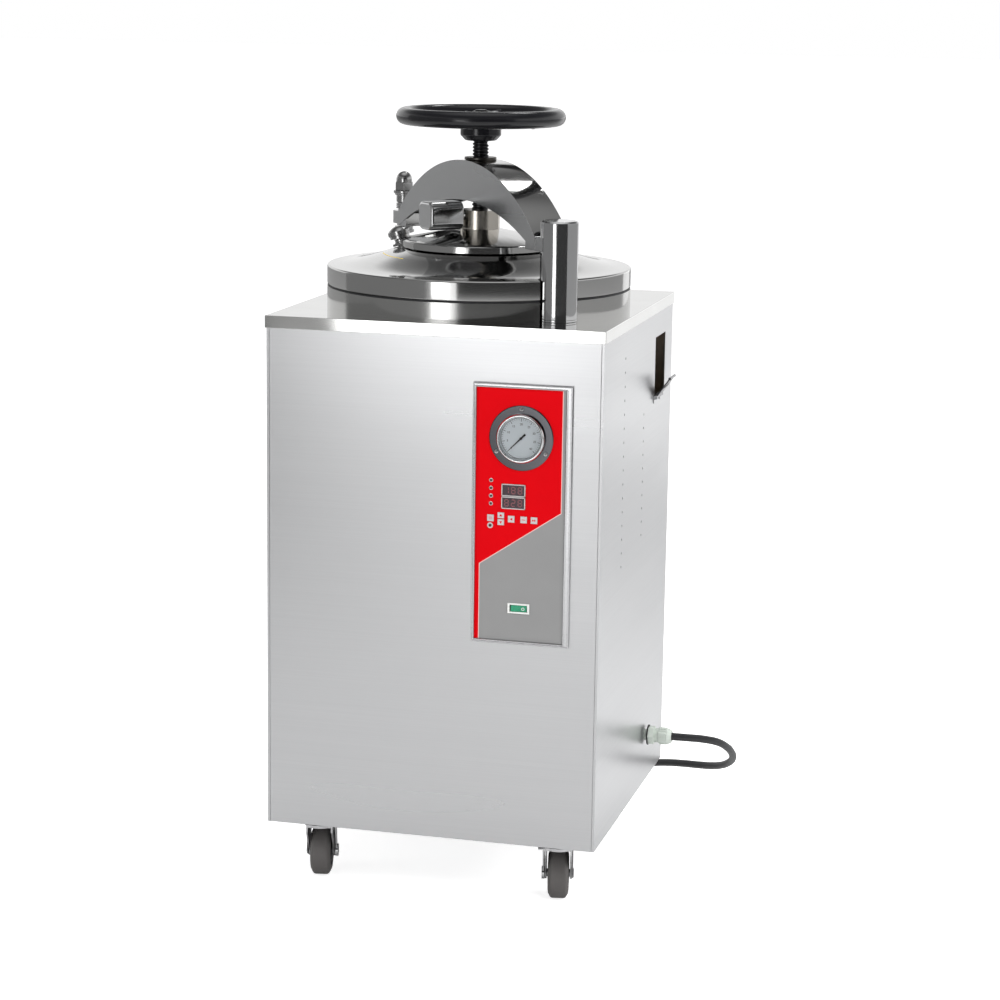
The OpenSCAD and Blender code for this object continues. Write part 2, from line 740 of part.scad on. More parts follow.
// Gauge line, exhaust line and the exhaust valve
module steam_lines() {
    wall_y = sqrt(chamber_r * chamber_r - exhaust_x * exhaust_x) + 6;
    color("goldenrod") {
        on_deck() rotate([0, 0, gauge_line_az])
            bar_x(0, gauge_z - deck_z, chamber_r + 1, gauge_line_r, 3);
        bar_y(gauge_x, gauge_z, gauge_end_y + lay_gap, gauge_end_y + 16, 6.5);
        elbow_block(exhaust_top);
        elbow_block(exhaust_z);
        translate([exhaust_x, wall_y, exhaust_top]) rotate([-90, 0, 0])
            pipe(exhaust_y - block_r + 2 - wall_y);
        translate([exhaust_x, exhaust_y, exhaust_z + block_r - 2])
            pipe(exhaust_top - exhaust_z - 2 * block_r + 4);
        translate([exhaust_x - valve_w / 2, exhaust_y - valve_w / 2, exhaust_z + valve_up])
            cube([valve_l, valve_w, valve_tall]);
        translate([exhaust_x, exhaust_y + block_r - 2, exhaust_z]) rotate([-90, 0, 0])
            pipe(half_d - exhaust_y - block_r + 2 + stub_l + 6);
        translate([exhaust_x, half_d + lay_gap, exhaust_z]) rotate([-90, 0, 0]) difference() {
            cylinder(r = 13, h = 6 - lay_gap, $fn = 6);
            translate([0, 0, -1]) cylinder(r = pipe_in, h = 8);
        }
    }
}

module pipework() {
    drain_line();
    steam_lines();
}

// Tray with the contactor, the transformer and the terminal block
module electrical_tray() {
    z = caster_h + angle_t + 2 + 2 * lay_gap;
    x = -in_w + angle_w + 10;
    y = -in_d + angle_w + 10;
    color("lightsteelblue") {
        box([x, y, z + 20], [x + 160, y + 120, z + 22]);
        for (i = [8, 152], j = [8, 112]) translate([x + i, y + j, z]) cylinder(r = 4, h = 20);
        box([x + 12, y + 14, z + 22 + lay_gap], [x + 57, y + 90, z + 100]);
        box([x + 72, y + 14, z + 22 + lay_gap], [x + 142, y + 70, z + 80]);
        box([x + 72, y + 84, z + 22 + lay_gap], [x + 148, y + 108, z + 48]);
    }
}

// ---- Lock bolt and post ----

// The stud with its fixed washers and nuts, and the spring that presses on the tongue
module lock_bolt() {
    spring_h = tongue_top + slide_gap;
    sleeve_h = spring_h + 12.6;
    nut_h = sleeve_h + 18;
    color("silver") on_deck() at_bolt() {
        translate([0, 0, -16]) cylinder(r = bolt_r, h = nut_h + 30);
        translate([0, 0, -14]) cylinder(r = 15.5, h = 12 - lay_gap);
        translate([0, 0, tongue_h - 15]) cylinder(r = 16.5, h = 5);
        translate([0, 0, tongue_h - 10]) cylinder(r = 14.5, h = 5);
        for (i = [0:3]) translate([0, 0, spring_h + 1.5 + i * 3.1]) rotate_extrude()
            translate([bolt_r + 2.2, 0]) circle(r = 1.5, $fn = 24);
        translate([0, 0, sleeve_h]) cylinder(r = 12, h = 11);
        translate([0, 0, sleeve_h + 11]) cylinder(r = 14.5, h = 3);
        translate([0, 0, sleeve_h + 14]) cylinder(r = 16.5, h = 4);
        translate([0, 0, nut_h]) cylinder(r = 15.6, h = 13.4, $fn = 6);
        translate([0, 0, nut_h + 13.4]) cylinder(r = 12.4, h = 4);
        translate([0, 0, nut_h + 17.4]) intersection() {
            sphere(r = 12.4);
            cylinder(r = 14, h = 14);
        }
    }
}

module post_shaft() {
    color("lightgray") on_deck() at_pivot() {
        translate([0, 0, -16]) cylinder(r = shaft_r, h = post_h + 10);
        translate([0, 0, lay_gap]) cylinder(r = post_r, h = sleeve_gap_h - lay_gap);
        translate([0, 0, -12]) ring(40, shaft_r, 12 - deck_t - lay_gap);
    }
}

// ---- Beam ----

module arch_outline() {
    difference() {
        intersection() {
            translate([0, crown_h - outer_r]) circle(r = outer_r, $fn = 256);
            translate([-shoulder_s - 2, tongue_h]) square([2 * shoulder_s + 4, crown_h]);
        }
        translate([0, under_h - under_r]) circle(r = under_r, $fn = 256);
    }
}

module band_outline() {
    difference() {
        arch_outline();
        translate([0, crown_h - outer_r]) circle(r = outer_r - beam_t, $fn = 256);
    }
}

module beam_arch() {
    hw = beam_w / 2;
    end_r = bolt_r + 8;
    color("silver") along_beam() difference() {
        union() {
            for (y0 = [-hw, hw - beam_t]) slab(y0, y0 + beam_t) arch_outline();
            slab(-hw + 1, hw - 1) band_outline();
            // Crown block that holds the nut
            intersection() {
                box([-32, 1 - hw, under_h + 2], [32, hw - 1, crown_h]);
                slab(-hw, hw) arch_outline();
            }
            // Tongue to the post, tongue to the lock bolt
            box([shoulder_s - 26, -hw + 1, tongue_h], [pivot_s, hw - 1, tongue_top]);
            box([-shoulder_s, -hw + 1, tongue_h], [26 - shoulder_s, hw - 1, tongue_top]);
            box([-bolt_s, -end_r, tongue_h], [1 - shoulder_s, end_r, tongue_top]);
            translate([-bolt_s, 0, tongue_h]) cylinder(r = end_r, h = tongue_t);
            // Sleeve that turns on the post's shaft
            translate([pivot_s, 0, sleeve_gap_h + slide_gap])
                cylinder(r = post_r, h = post_h - 2.5 - sleeve_gap_h - slide_gap);
            translate([pivot_s, 0, post_h - 2.5]) cylinder(r1 = post_r, r2 = post_r - 2.5, h = 2.5);
        }
        translate([pivot_s, 0, 0]) cylinder(r = shaft_r + run_gap, h = post_h - 5);
        translate([0, 0, under_h - 1]) cylinder(r = nut_r, h = crown_h);
        // Slot that lets the beam swing off the lock bolt
        translate([-bolt_s, 0, tongue_h - 1]) cylinder(r = bolt_r + 0.6, h = tongue_t + 2);
        box([-bolt_s - bolt_r - 0.6, 0, tongue_h - 1], [bolt_r + 2.4 - bolt_s, hw + 5, tongue_top + 1]);
    }
}

module spindle_nut() {
    color("darkkhaki") along_beam() {
        difference() {
            union() {
                translate([0, 0, under_h + 2]) cylinder(r = nut_r - lay_gap, h = crown_h - under_h - 2);
                translate([0, 0, crown_h + lay_gap]) cylinder(r = nut_r + 3, h = 4);
                translate([0, 0, crown_h - 1]) cylinder(r = nut_r - lay_gap, h = 3);
            }
            translate([0, 0, under_h]) cylinder(r = spindle_r + run_gap, h = crown_h);
        }
    }
}

// ---- Lid ----

// The S-shaped shoulder that runs from the dome out to the flat edge of the lid
function shoulder_curve(n) = let (w = blend_r1 - blend_r0, h0 = dome_h(blend_r0), h1 = skirt_top + 0.4,
    s0 = -blend_r0 / sqrt(dome_r * dome_r - blend_r0 * blend_r0), s1 = -0.02)
    [for (i = [1:n]) let (t = i / n, u = 1 - t) [blend_r0 + w * t, u * u * (1 + 2 * t) * h0
        + t * t * (3 - 2 * t) * h1 + w * t * u * (u * s0 - t * s1)]];

module lid_shell() {
    color("silver") on_deck() difference() {
        rotate_extrude($fn = 192) polygon(concat(
            [[0, dome_top]],
            arc(0, dome_ch, dome_r, 90, acos(blend_r0 / dome_r), 20),
            shoulder_curve(12),
            [[flange_r - 3, skirt_top]],
            arc(flange_r - 3, skirt_top - 3, 3, 90, 0, 6),
            [[flange_r, lid_h0], [flange_r - 34, lid_h0], [flange_r - 34, lid_h0 + 14],
            [dome_edge_r - 4, lid_h0 + 20]],
            arc(0, dome_ch, dome_r - dome_t, acos((dome_edge_r - 4) / (dome_r - dome_t)), 90, 24)));
        at_pivot() cylinder(r = post_r + notch_gap, h = dome_top);
    }
}

// The cover's lip is cut away round the safety valve's foot
valve_relief_r = 16;
disc_relief_h = 16;

module lid_cover_disc() {
    color("whitesmoke") on_deck() {
        difference() {
            rotate_extrude($fn = 128) polygon([[boss_stem_r + lay_gap, disc_top_h - disc_t],
                [boss_stem_r + lay_gap, disc_top_h], [boss_r + 2, disc_top_h], [disc_r - 3, disc_rim_h + 4],
                [disc_r, disc_rim_h + 2], [disc_r, disc_lip_h], [disc_r - 2, disc_lip_h],
                [disc_r - 2, disc_rim_h + 4 - disc_t], [boss_r + 2, disc_top_h - disc_t]]);
            on_dome(valve_r, valve_az) translate([0, 0, -4]) cylinder(r = valve_relief_r, h = disc_relief_h);
        }
        for (a = [15:60:330]) rotate([0, 0, a]) translate([disc_r - 18, 0, dome_h(disc_r - 23)])
            cylinder(r = 5, h = disc_rim_h + 5.8 - dome_h(disc_r - 23) - disc_t);
    }
}

boss_stem_r = 22;
cavity_h0 = disc_top_h + 4;
cavity_h1 = boss_top - 3;
collar_h0 = cavity_h0 + 3.3;
collar_h1 = cavity_h1 - 8.5;
lock_h = boss_top - 6.5;
lock_az = beam_az - 90;

// The boss holds the spindle's collar on a thrust bearing
module lid_boss() {
    color("tan") on_deck() {
        difference() {
            union() {
                translate([0, 0, disc_top_h + lay_gap]) cylinder(r = boss_r, h = boss_top - disc_top_h - lay_gap);
                translate([0, 0, dome_top - 2]) cylinder(r = boss_stem_r, h = 18);
            }
            translate([0, 0, cavity_h0]) cylinder(r = 21, h = cavity_h1 - cavity_h0);
            translate([0, 0, cavity_h0 + 1]) cylinder(r = spindle_r + slide_gap, h = 60);
            translate([0, 0, dome_ch]) sphere(r = dome_r + lay_gap, $fn = 256);
            rotate([0, 0, lock_az]) bar_x(0, lock_h, 10, boss_r + 5, lock_pin_r + run_gap);
        }
        translate([0, 0, cavity_h0 + 0.05]) ring(20, spindle_r + 1, 2.9);
    }
}

valve_r = 124.4;
valve_az = 175.4;

module safety_valve_body() {
    color("silver") on_deck() on_dome(valve_r, valve_az) {
        translate([0, 0, 0.6]) cylinder(r = 14, h = 3.4, $fn = 6);
        translate([0, 0, 4]) cylinder(r = 10, h = 7);
        translate([0, 0, 11]) cylinder(r = 4, h = 8);
    }
}

module safety_valve_cap() {
    color("silver") on_deck() on_dome(valve_r, valve_az) difference() {
        union() {
            translate([0, 0, 11.3]) cylinder(r = 15, h = 4);
            translate([0, 0, 15.3]) cylinder(r = 16.5, h = 7);
            translate([0, 0, 22.3]) intersection() {
                translate([0, 0, -13]) sphere(r = 21);
                cylinder(r = 16.5, h = 9);
            }
        }
        translate([0, 0, 10]) cylinder(r = 4 + run_gap, h = 9 + slide_gap + 1);
    }
}

lock_pin_r = 3;
barrel_r = 21;
barrel_corner = 11;

// A square of half width w with rounded corners, centred
module rounded_square(w, r) {
    polygon([for (a = [0:90:270]) each arc((w - r) * sign(cos(a + 45)), (w - r) * sign(sin(a + 45)),
        r, a, a + 90, 6)]);
}

// Barrel of the pressure interlock, beside the boss
module interlock_housing() {
    color("lightgray") on_deck() rotate([0, 0, lock_az]) difference() {
        union() {
            bar_x(0, lock_h, boss_r + 0.1, boss_r + 10, 9);
            translate([boss_r + 8, 0, lock_h]) rotate([90, 0, 90]) linear_extrude(56)
                rounded_square(barrel_r, barrel_corner);
        }
        bar_x(0, lock_h, boss_r - 1, boss_r + 14, lock_pin_r + run_gap);
        bar_x(0, lock_h, boss_r + 12, boss_r + 56, 14);
    }
}

// The locking pin and its piston
module interlock_pin() {
    color("silver") on_deck() rotate([0, 0, lock_az]) {
        bar_x(0, lock_h, spindle_r + 2, boss_r + 30, lock_pin_r);
        bar_x(0, lock_h, boss_r + 24, boss_r + 28, 14 - 2 * run_gap);
    }
}

// ---- Spindle and handwheel ----

hub_h0 = wheel_h - 35.5;
hub_h1 = wheel_h;
spoke_r = 8;
spoke_h = wheel_h - 3;

// Half section of the threaded stretch, from h0 to h1
function thread_points(h0, h1) = [for (i = [0:floor((h1 - h0) / thread_pitch) - 1], k = [0:3])
    [spindle_r - (k == 0 || k == 3 ? 0 : 1.8), h0 + (i + [0.3, 0.42, 0.78, 0.9][k]) * thread_pitch]];

module spindle() {
    h0 = boss_top + 2;
    color("dimgray") on_deck() rotate_extrude() polygon(concat(
        [[0, collar_h0], [20, collar_h0], [20, collar_h1], [spindle_r, collar_h1],
        [spindle_r, lock_h - 4], [spindle_r - 3, lock_h - 4], [spindle_r - 3, lock_h + 4],
        [spindle_r, lock_h + 4], [spindle_r, h0]],
        thread_points(h0, hub_h0 - 2),
        [[spindle_r, hub_h0 - 1], [spindle_r, hub_h1 + 8], [spindle_r - 2, hub_h1 + 10],
        [0, hub_h1 + 10]]));
}

module handwheel() {
    ring_r = wheel_r - rim_r;
    color("black") on_deck() difference() {
        union() {
            translate([0, 0, wheel_h]) rotate_extrude($fn = 128) translate([ring_r, 0])
                circle(r = rim_r, $fn = 48);
            translate([0, 0, hub_h0]) cylinder(r1 = 24, r2 = 30.5, h = 7);
            translate([0, 0, hub_h0 + 7]) cylinder(r = 30.5, h = hub_h1 - hub_h0 - 7);
            for (a = [90, 210, 330]) rotate([0, 0, a]) bar_x(0, spoke_h, 22, ring_r, spoke_r);
        }
        translate([0, 0, hub_h0 - 1]) cylinder(r = spindle_r + run_gap, h = 50);
    }
}

// ---- Casters ----

module at_swivel(i) { translate([CORNERS[i][0] * swivel_x, CORNERS[i][1] * swivel_y, 0]) children(); }

// The turned part of a caster; the inner side of each is on its own -X before it is mirrored
module at_caster(i) {
    at_swivel(i) rotate([0, 0, CORNERS[i][1] > 0 ? rear_turn : caster_turn])
        scale([CORNERS[i][0], 1, 1]) children();
}

module caster_plates() {
    color("silver") for (i = [0:3]) at_swivel(i) {
        difference() {
            translate([-plate_s / 2, -plate_s / 2, caster_h - plate_t - lay_gap]) cube([plate_s, plate_s, plate_t]);
            caster_bolt_holes(caster_h - plate_t - 1, plate_t + 2);
        }
        translate([0, 0, crown_z1 + fork_gap]) cylinder(r = 22, h = caster_h - plate_t - crown_z1 - fork_gap);
        translate([0, 0, crown_z0 - 3.5]) cylinder(r = king_r, h = 16);
        translate([0, 0, crown_z0 - 3.5]) cylinder(r = 9, h = 3.5 - slide_gap);
    }
}

// Side view of a fork leg: wide at the crown, narrowing to the axle
module fork_leg_outline() {
    polygon([[-20, crown_z1], [26, crown_z1], [34, crown_z1 - 14], [trail + 9, caster_r],
        [trail - 9, caster_r], [-20, crown_z1 - 12]]);
    translate([trail, caster_r]) circle(r = 9);
}

module caster_fork(i) {
    leg_x = caster_w / 2 + fork_gap;
    color("silver") at_caster(i) {
        difference() {
            union() {
                translate([0, 0, crown_z0]) cylinder(r = 24, h = crown_z1 - crown_z0);
                box([-leg_x - fork_t, -20, crown_z0], [leg_x + fork_t, 26, crown_z1]);
                for (x = [-leg_x - fork_t, leg_x]) translate([x, 0, 0]) rotate([90, 0, 90])
                    linear_extrude(fork_t) fork_leg_outline();
            }
            translate([0, 0, crown_z0 - 1]) cylinder(r = king_r + run_gap, h = 10);
        }
        bar_x(trail, caster_r, -leg_x - fork_t - 5, leg_x + fork_t + 3, axle_r);
    }
}

module caster_fork_fr() { caster_fork(0); }
module caster_fork_fl() { caster_fork(1); }
module caster_fork_br() { caster_fork(2); }
module caster_fork_bl() { caster_fork(3); }

module caster_wheel(i) {
    hw = caster_w / 2;
    tread = 8;
    color("gray") at_caster(i) translate([0, trail, caster_r]) rotate([0, 90, 0])
        rotate_extrude() polygon(concat([[axle_r + run_gap, -hw], [17, -hw], [19, -hw + 3], [24, -hw + 3],
            [26, -hw]], arc(caster_r - 5, tread - hw, 5, -50, 0, 4), arc(caster_r - 5, hw - tread, 5, 0, 50, 4),
            [[26, hw], [24, hw - 3], [19, hw - 3], [17, hw], [axle_r + run_gap, hw]]));
}

module caster_wheel_fr() { caster_wheel(0); }
module caster_wheel_fl() { caster_wheel(1); }
module caster_wheel_br() { caster_wheel(2); }
module caster_wheel_bl() { caster_wheel(3); }

// Brake lever: turns on the outer end of the axle
module brake_lever(i) {
    x0 = -caster_w / 2 - fork_gap - fork_t - 3.5;
    color("silver") at_caster(i) difference() {
        union() {
            bar_x(trail, caster_r, x0 - 1.5, x0 + 3, 9.5);
            translate([x0, 0, 0]) rotate([90, 0, 90]) linear_extrude(1.6)
                polygon([[trail - 6, caster_r], [trail + 6, caster_r], [trail - 14, crown_z0 - 2],
                    [trail - 24, crown_z0 - 2]]);
            box([x0 - 7, trail - 24, crown_z0 - 4], [x0 + 1.6, trail - 14, crown_z0 - 2]);
        }
        bar_x(trail, caster_r, x0 - 2, x0 + 6, axle_r + run_gap);
    }
}

module brake_lever_fr() { brake_lever(0); }
module brake_lever_fl() { brake_lever(1); }

// ---- Mains cord ----

module cable_gland() {
    x = half_w;
    color("honeydew") difference() {
        union() {
            bar_x(gland_y, gland_z, x - 12, x, gland_r - 2 - lay_gap);
            bar_x(gland_y, gland_z, in_w - 6, in_w - lay_gap, 15);
            translate([x, gland_y, gland_z]) rotate([0, 90, 0]) cylinder(r = 15, h = 11, $fn = 6);
            bar_x(gland_y, gland_z, x + 11, x + 18, gland_r);
            translate([x + 18, gland_y, gland_z]) rotate([0, 90, 0]) cylinder(r = 14.5, h = 14, $fn = 6);
            translate([x + 32, gland_y, gland_z]) rotate([0, 90, 0])
                cylinder(r1 = 13, r2 = 8.5, h = gland_l - 32);
        }
        bar_x(gland_y, gland_z, x - 20, x + 10, cord_r);
    }
}

// Sweeps a tube of a given radius along points, with level rings that face along the route
function tangent(p, i) = let (a = p[max(i - 1, 0)], b = p[min(i + 1, len(p) - 1)], d = b - a) d / norm(d);
function tube_ring(p, i, r, n) = let (t = tangent(p, i), s = cross(t, [0, 0, 1]), u = s / norm(s),
    v = cross(u, t)) [for (k = [0:n - 1]) p[i] + r * (cos(k * 360 / n) * u + sin(k * 360 / n) * v)];

module tube(p, r, n) {
    last = len(p) - 1;
    pts = [for (i = [0:last]) each tube_ring(p, i, r, n)];
    sides = [for (i = [0:last - 1], k = [0:n - 1]) let (j = (k + 1) % n)
        [i * n + k, i * n + j, (i + 1) * n + j, (i + 1) * n + k]];
    polyhedron(pts, concat(sides, [[for (k = [0:n - 1]) n - 1 - k]], [[for (k = [0:n - 1]) last * n + k]]));
}

module power_cord() {
    color("dimgray") {
        tube(CORD, cord_r, 10);
        tube(TAIL, cord_r, 10);
    }
}

module cord_coil() {
    color("dimgray") translate([coil_x, coil_y, 0]) ring(coil_r + cord_r, coil_r - cord_r, coil_h);
}

// Moulded plug with two round pins, lying on the coil
module power_plug() {
    color("dimgray") translate([plug_x, plug_y, plug_z]) rotate([0, 0, -90]) {
        rotate([0, 90, 0]) cylinder(r1 = cord_r + 0.5, r2 = 9, h = 26);
        box([26, -17, -6], [58, 17, 12]);
        for (y = [-9.5, 9.5]) translate([58, y, 3]) rotate([0, 90, 0]) cylinder(r = 2.4, h = 19);
    }
}

base_frame();
base_plate();
front_panel();
left_panel();
right_panel();
back_panel();
deck_plate();
control_bezel();
control_fascia();
gauge_case();
gauge_dial();
gauge_glass();
gauge_needle();
control_board();
switch_housing();
rocker_switch();
key_cycle();
key_up();
key_down();
key_shift();
key_clear();
key_start();
chamber_vessel();
lid_seal();
insulation_jacket();
heating_element();
basket_stand();
basket();
pipework();
electrical_tray();
lock_bolt();
post_shaft();
caster_plates();
caster_fork_fr();
caster_fork_fl();
caster_fork_br();
caster_fork_bl();
caster_wheel_fr();
caster_wheel_fl();
caster_wheel_br();
caster_wheel_bl();
brake_lever_fr();
brake_lever_fl();
side_handle_right();
side_handle_left();
cable_gland();
power_cord();
cord_coil();
power_plug();
beam_arch();
spindle_nut();
lid_shell();
lid_cover_disc();
lid_boss();
safety_valve_body();
safety_valve_cap();
interlock_housing();
interlock_pin();
spindle();
handwheel();
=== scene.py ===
"""A floor-standing, top-loading steam autoclave on casters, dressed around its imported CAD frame.

Shapes are built in millimetres, and MM turns them into metres when a piece is finished.
"""
import json
import math

import bmesh
import bpy
from mathutils import Matrix, Vector


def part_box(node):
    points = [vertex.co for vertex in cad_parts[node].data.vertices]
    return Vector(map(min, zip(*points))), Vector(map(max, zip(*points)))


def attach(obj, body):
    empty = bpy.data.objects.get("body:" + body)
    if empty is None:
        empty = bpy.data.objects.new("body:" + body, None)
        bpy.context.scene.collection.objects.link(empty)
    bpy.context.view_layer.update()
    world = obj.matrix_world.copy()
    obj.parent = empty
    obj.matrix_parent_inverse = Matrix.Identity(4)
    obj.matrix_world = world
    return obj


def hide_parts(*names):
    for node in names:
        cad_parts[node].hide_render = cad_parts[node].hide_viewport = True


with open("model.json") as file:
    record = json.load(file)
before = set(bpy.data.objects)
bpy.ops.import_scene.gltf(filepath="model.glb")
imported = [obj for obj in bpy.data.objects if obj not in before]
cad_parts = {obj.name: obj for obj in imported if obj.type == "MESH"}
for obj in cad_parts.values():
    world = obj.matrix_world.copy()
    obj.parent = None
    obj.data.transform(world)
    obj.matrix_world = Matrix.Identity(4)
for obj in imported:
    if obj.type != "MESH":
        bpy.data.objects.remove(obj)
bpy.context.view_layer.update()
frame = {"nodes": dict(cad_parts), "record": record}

MM = 0.001
BODY_OF = {n: b for b, nodes in frame["record"]["behaviour"]["bodies"].items() for n in nodes}


def low(node):
    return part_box(node)[0] / MM


def high(node):
    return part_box(node)[1] / MM


def mid(node):
    return (low(node) + high(node)) / 2


# ---- Camera ----

CAMERA_AT = Vector((1.0300, -3.8624, 1.3587))
CAMERA_YAW = math.radians(14.41)
CAMERA_PITCH = math.radians(11.31)
CAMERA_ROLL = math.radians(0.83)
CAMERA_LENS = 95.87


def place_camera():
    level_right = Vector((math.cos(CAMERA_YAW), math.sin(CAMERA_YAW), 0))
    ahead = Vector((-math.sin(CAMERA_YAW) * math.cos(CAMERA_PITCH),
                    math.cos(CAMERA_YAW) * math.cos(CAMERA_PITCH), -math.sin(CAMERA_PITCH)))
    level_up = level_right.cross(ahead)
    right = math.cos(CAMERA_ROLL) * level_right + math.sin(CAMERA_ROLL) * level_up
    up = right.cross(ahead)
    data = bpy.data.cameras.new("camera")
    data.lens = CAMERA_LENS
    camera = bpy.data.objects.new("camera", data)
    turn = Matrix((right, up, -ahead)).transposed().to_4x4()
    camera.matrix_world = Matrix.Translation(CAMERA_AT) @ turn
    bpy.context.collection.objects.link(camera)
    bpy.context.scene.camera = camera


place_camera()


# ---- Surfaces ----

class Surface:
    """A node material, with helpers that lay a pattern on its colour, roughness and relief."""

    def __init__(self, name, colour, metal=0.0, rough=0.5, **constants):
        self.material = bpy.data.materials.new(name)
        self.material.use_nodes = True
        self.nodes = self.material.node_tree.nodes
        self.shader = self.nodes["Principled BSDF"]
        self.colour = (*colour, 1.0)
        self.set("Base Color", self.colour)
        self.set("Metallic", metal)
        self.set("Roughness", rough)
        for socket, value in constants.items():
            self.set(socket.replace("_", " ").title().replace("Ior", "IOR"), value)

    def set(self, socket, value):
        self.shader.inputs[socket].default_value = value

    def link(self, a, b):
        self.material.node_tree.links.new(a, b)

    def place(self, stretch=(1, 1, 1)):
        """Object coordinates, stretched."""
        where = self.nodes.new("ShaderNodeTexCoord")
        scale = self.nodes.new("ShaderNodeMapping")
        scale.inputs["Scale"].default_value = stretch
        self.link(where.outputs["Object"], scale.inputs["Vector"])
        return scale.outputs["Vector"]

    def radius(self):
        """Distance from the machine's upright axis, as a pattern coordinate for turned metal."""
        flat = self.nodes.new("ShaderNodeVectorMath")
        flat.operation = "LENGTH"
        self.link(self.place((1, 1, 0)), flat.inputs[0])
        return flat.outputs["Value"]

    def noise(self, at, scale, detail=3.0, dimensions="3D"):
        pattern = self.nodes.new("ShaderNodeTexNoise")
        pattern.noise_dimensions = dimensions
        pattern.inputs["Scale"].default_value = scale
        pattern.inputs["Detail"].default_value = detail
        self.link(at, pattern.inputs["W" if dimensions == "1D" else "Vector"])
        return pattern.outputs["Fac"]

    def spread(self, value, low_value, high_value, low_in=0.3, high_in=0.7):
        ramp = self.nodes.new("ShaderNodeMapRange")
        ramp.inputs["From Min"].default_value = low_in
        ramp.inputs["From Max"].default_value = high_in
        ramp.inputs["To Min"].default_value = low_value
        ramp.inputs["To Max"].default_value = high_value
        self.link(value, ramp.inputs["Value"])
        return ramp.outputs["Result"]

    def tint(self, value, other):
        """Varies the colour towards another one."""
        blend = self.nodes.new("ShaderNodeMix")
        blend.data_type = "RGBA"
        blend.inputs["A"].default_value = self.colour
        blend.inputs["B"].default_value = (*other, 1.0)
        self.link(value, blend.inputs["Factor"])
        self.link(blend.outputs["Result"], self.shader.inputs["Base Color"])
        return self

    def gloss(self, value):
        self.link(value, self.shader.inputs["Roughness"])
        return self

    def relief(self, value, strength, depth):
        bump = self.nodes.new("ShaderNodeBump")
        bump.inputs["Strength"].default_value = strength
        bump.inputs["Distance"].default_value = depth
        self.link(value, bump.inputs["Height"])
        self.link(bump.outputs["Normal"], self.shader.inputs["Normal"])
        return self


def brushed(name, colour, shade, rough, along):
    """Steel brushed along an axis: long fine lines, with slow changes from sheet to sheet."""
    s = Surface(name, colour, metal=1.0, rough=rough)
    fine, slow = {"x": ((3, 1, 700), (1.2, 1, 9)), "y": ((1, 3, 700), (1, 1.2, 9)),
                  "flat": ((3, 500, 500), (1.2, 7, 1))}[along]
    lines = s.noise(s.place(fine), 1.0, 4)
    clouds = s.noise(s.place(slow), 1.0, 2)
    s.tint(s.spread(lines, 0, 1, 0.2, 0.8), shade)
    s.gloss(s.spread(clouds, rough - 0.03, rough + 0.04))
    return s.relief(lines, 0.06, 0.00006)


def polished(name, colour, rough, streak=0.02):
    """Hand-polished metal: nearly a mirror, with faint cloudy wipe marks."""
    s = Surface(name, colour, metal=1.0, rough=rough)
    clouds = s.noise(s.place(), 14, 4)
    s.tint(s.spread(clouds, 0, 1), [c * 0.93 for c in colour])
    s.gloss(s.spread(clouds, max(0.02, rough - streak), rough + streak))
    return s


def turned(name, colour, rough):
    """Metal finished on a lathe: rings about an upright axis."""
    s = Surface(name, colour, metal=1.0, rough=rough)
    rings = s.noise(s.radius(), 900, 3, "1D")
    s.tint(s.spread(rings, 0, 1), [c * 0.88 for c in colour])
    s.gloss(s.spread(rings, rough - 0.03, rough + 0.05))
    return s.relief(rings, 0.05, 0.00008)


def moulded(name, colour, rough, grain=900, depth=0.00005, shade=0.86, **constants):
    """Plastic or rubber with a fine skin and a slight change of colour."""
    s = Surface(name, colour, rough=rough, **constants)
    skin = s.noise(s.place(), grain, 3)
    clouds = s.noise(s.place(), 22, 3)
    s.tint(s.spread(clouds, 0, 1), [c * shade for c in colour])
    s.gloss(s.spread(skin, rough - 0.05, rough + 0.06))
    return s.relief(skin, 0.25, depth)


# The front and back take a darker steel tone and the sides a lighter one: painted light on the sides. The two also
# differ in the direction of their brushing.
front_steel = brushed("brushed steel, front and back", (0.54, 0.543, 0.55), (0.51, 0.514, 0.522), 0.30, "x")
side_steel_painted_lighter = brushed("brushed steel, sides", (0.64, 0.645, 0.655), (0.60, 0.605, 0.617), 0.32, "y")
deck_steel = polished("polished steel, deck", (0.62, 0.62, 0.61), 0.07)
lid_steel = turned("polished steel, lid", (0.57, 0.57, 0.565), 0.08)
flange_steel = turned("turned steel, flange", (0.54, 0.54, 0.53), 0.13)
chrome = polished("chrome", (0.62, 0.625, 0.63), 0.09)
# Chrome with a near-black base colour: a painted dark reflection, used on the gauge flange and the side handles.
chrome_painted_dark_reflection = polished("chrome with painted dark reflection", (0.12, 0.12, 0.13), 0.14)
satin_chrome = polished("satin chrome", (0.42, 0.42, 0.42), 0.24, 0.05)
beam_plate = brushed("satin steel, beam plates", (0.50, 0.505, 0.51), (0.46, 0.465, 0.47), 0.26, "x")
beam_band = polished("polished steel, beam band", (0.54, 0.54, 0.535), 0.09)
bezel_steel = brushed("brushed steel, bezel", (0.56, 0.56, 0.57), (0.50, 0.50, 0.51), 0.18, "y")
frame_steel = polished("mill-finish angle iron", (0.42, 0.42, 0.43), 0.38, 0.08)
nickel = turned("brushed nickel", (0.62, 0.585, 0.53), 0.20)
zinc = polished("zinc plate", (0.56, 0.56, 0.57), 0.30, 0.08)
brass = polished("brass", (0.62, 0.45, 0.18), 0.24, 0.06)
thread_black = polished("blackened steel", (0.050, 0.050, 0.052), 0.34, 0.05)
nut_bronze = polished("dark bronze", (0.085, 0.080, 0.072), 0.32, 0.06)
enamel_black = moulded("black enamel", (0.008, 0.008, 0.010), 0.20, 60, 0.00001, 0.8, coat_weight=0.2,
                        specular_ior_level=0.35)
panel_red = moulded("red print", (0.70, 0.0, 0.004), 0.45, 500, 0.00001, 0.97, specular_ior_level=0.05)
panel_grey = moulded("grey print", (0.29, 0.29, 0.29), 0.42, 500, 0.00001, 0.96, specular_ior_level=0.2)
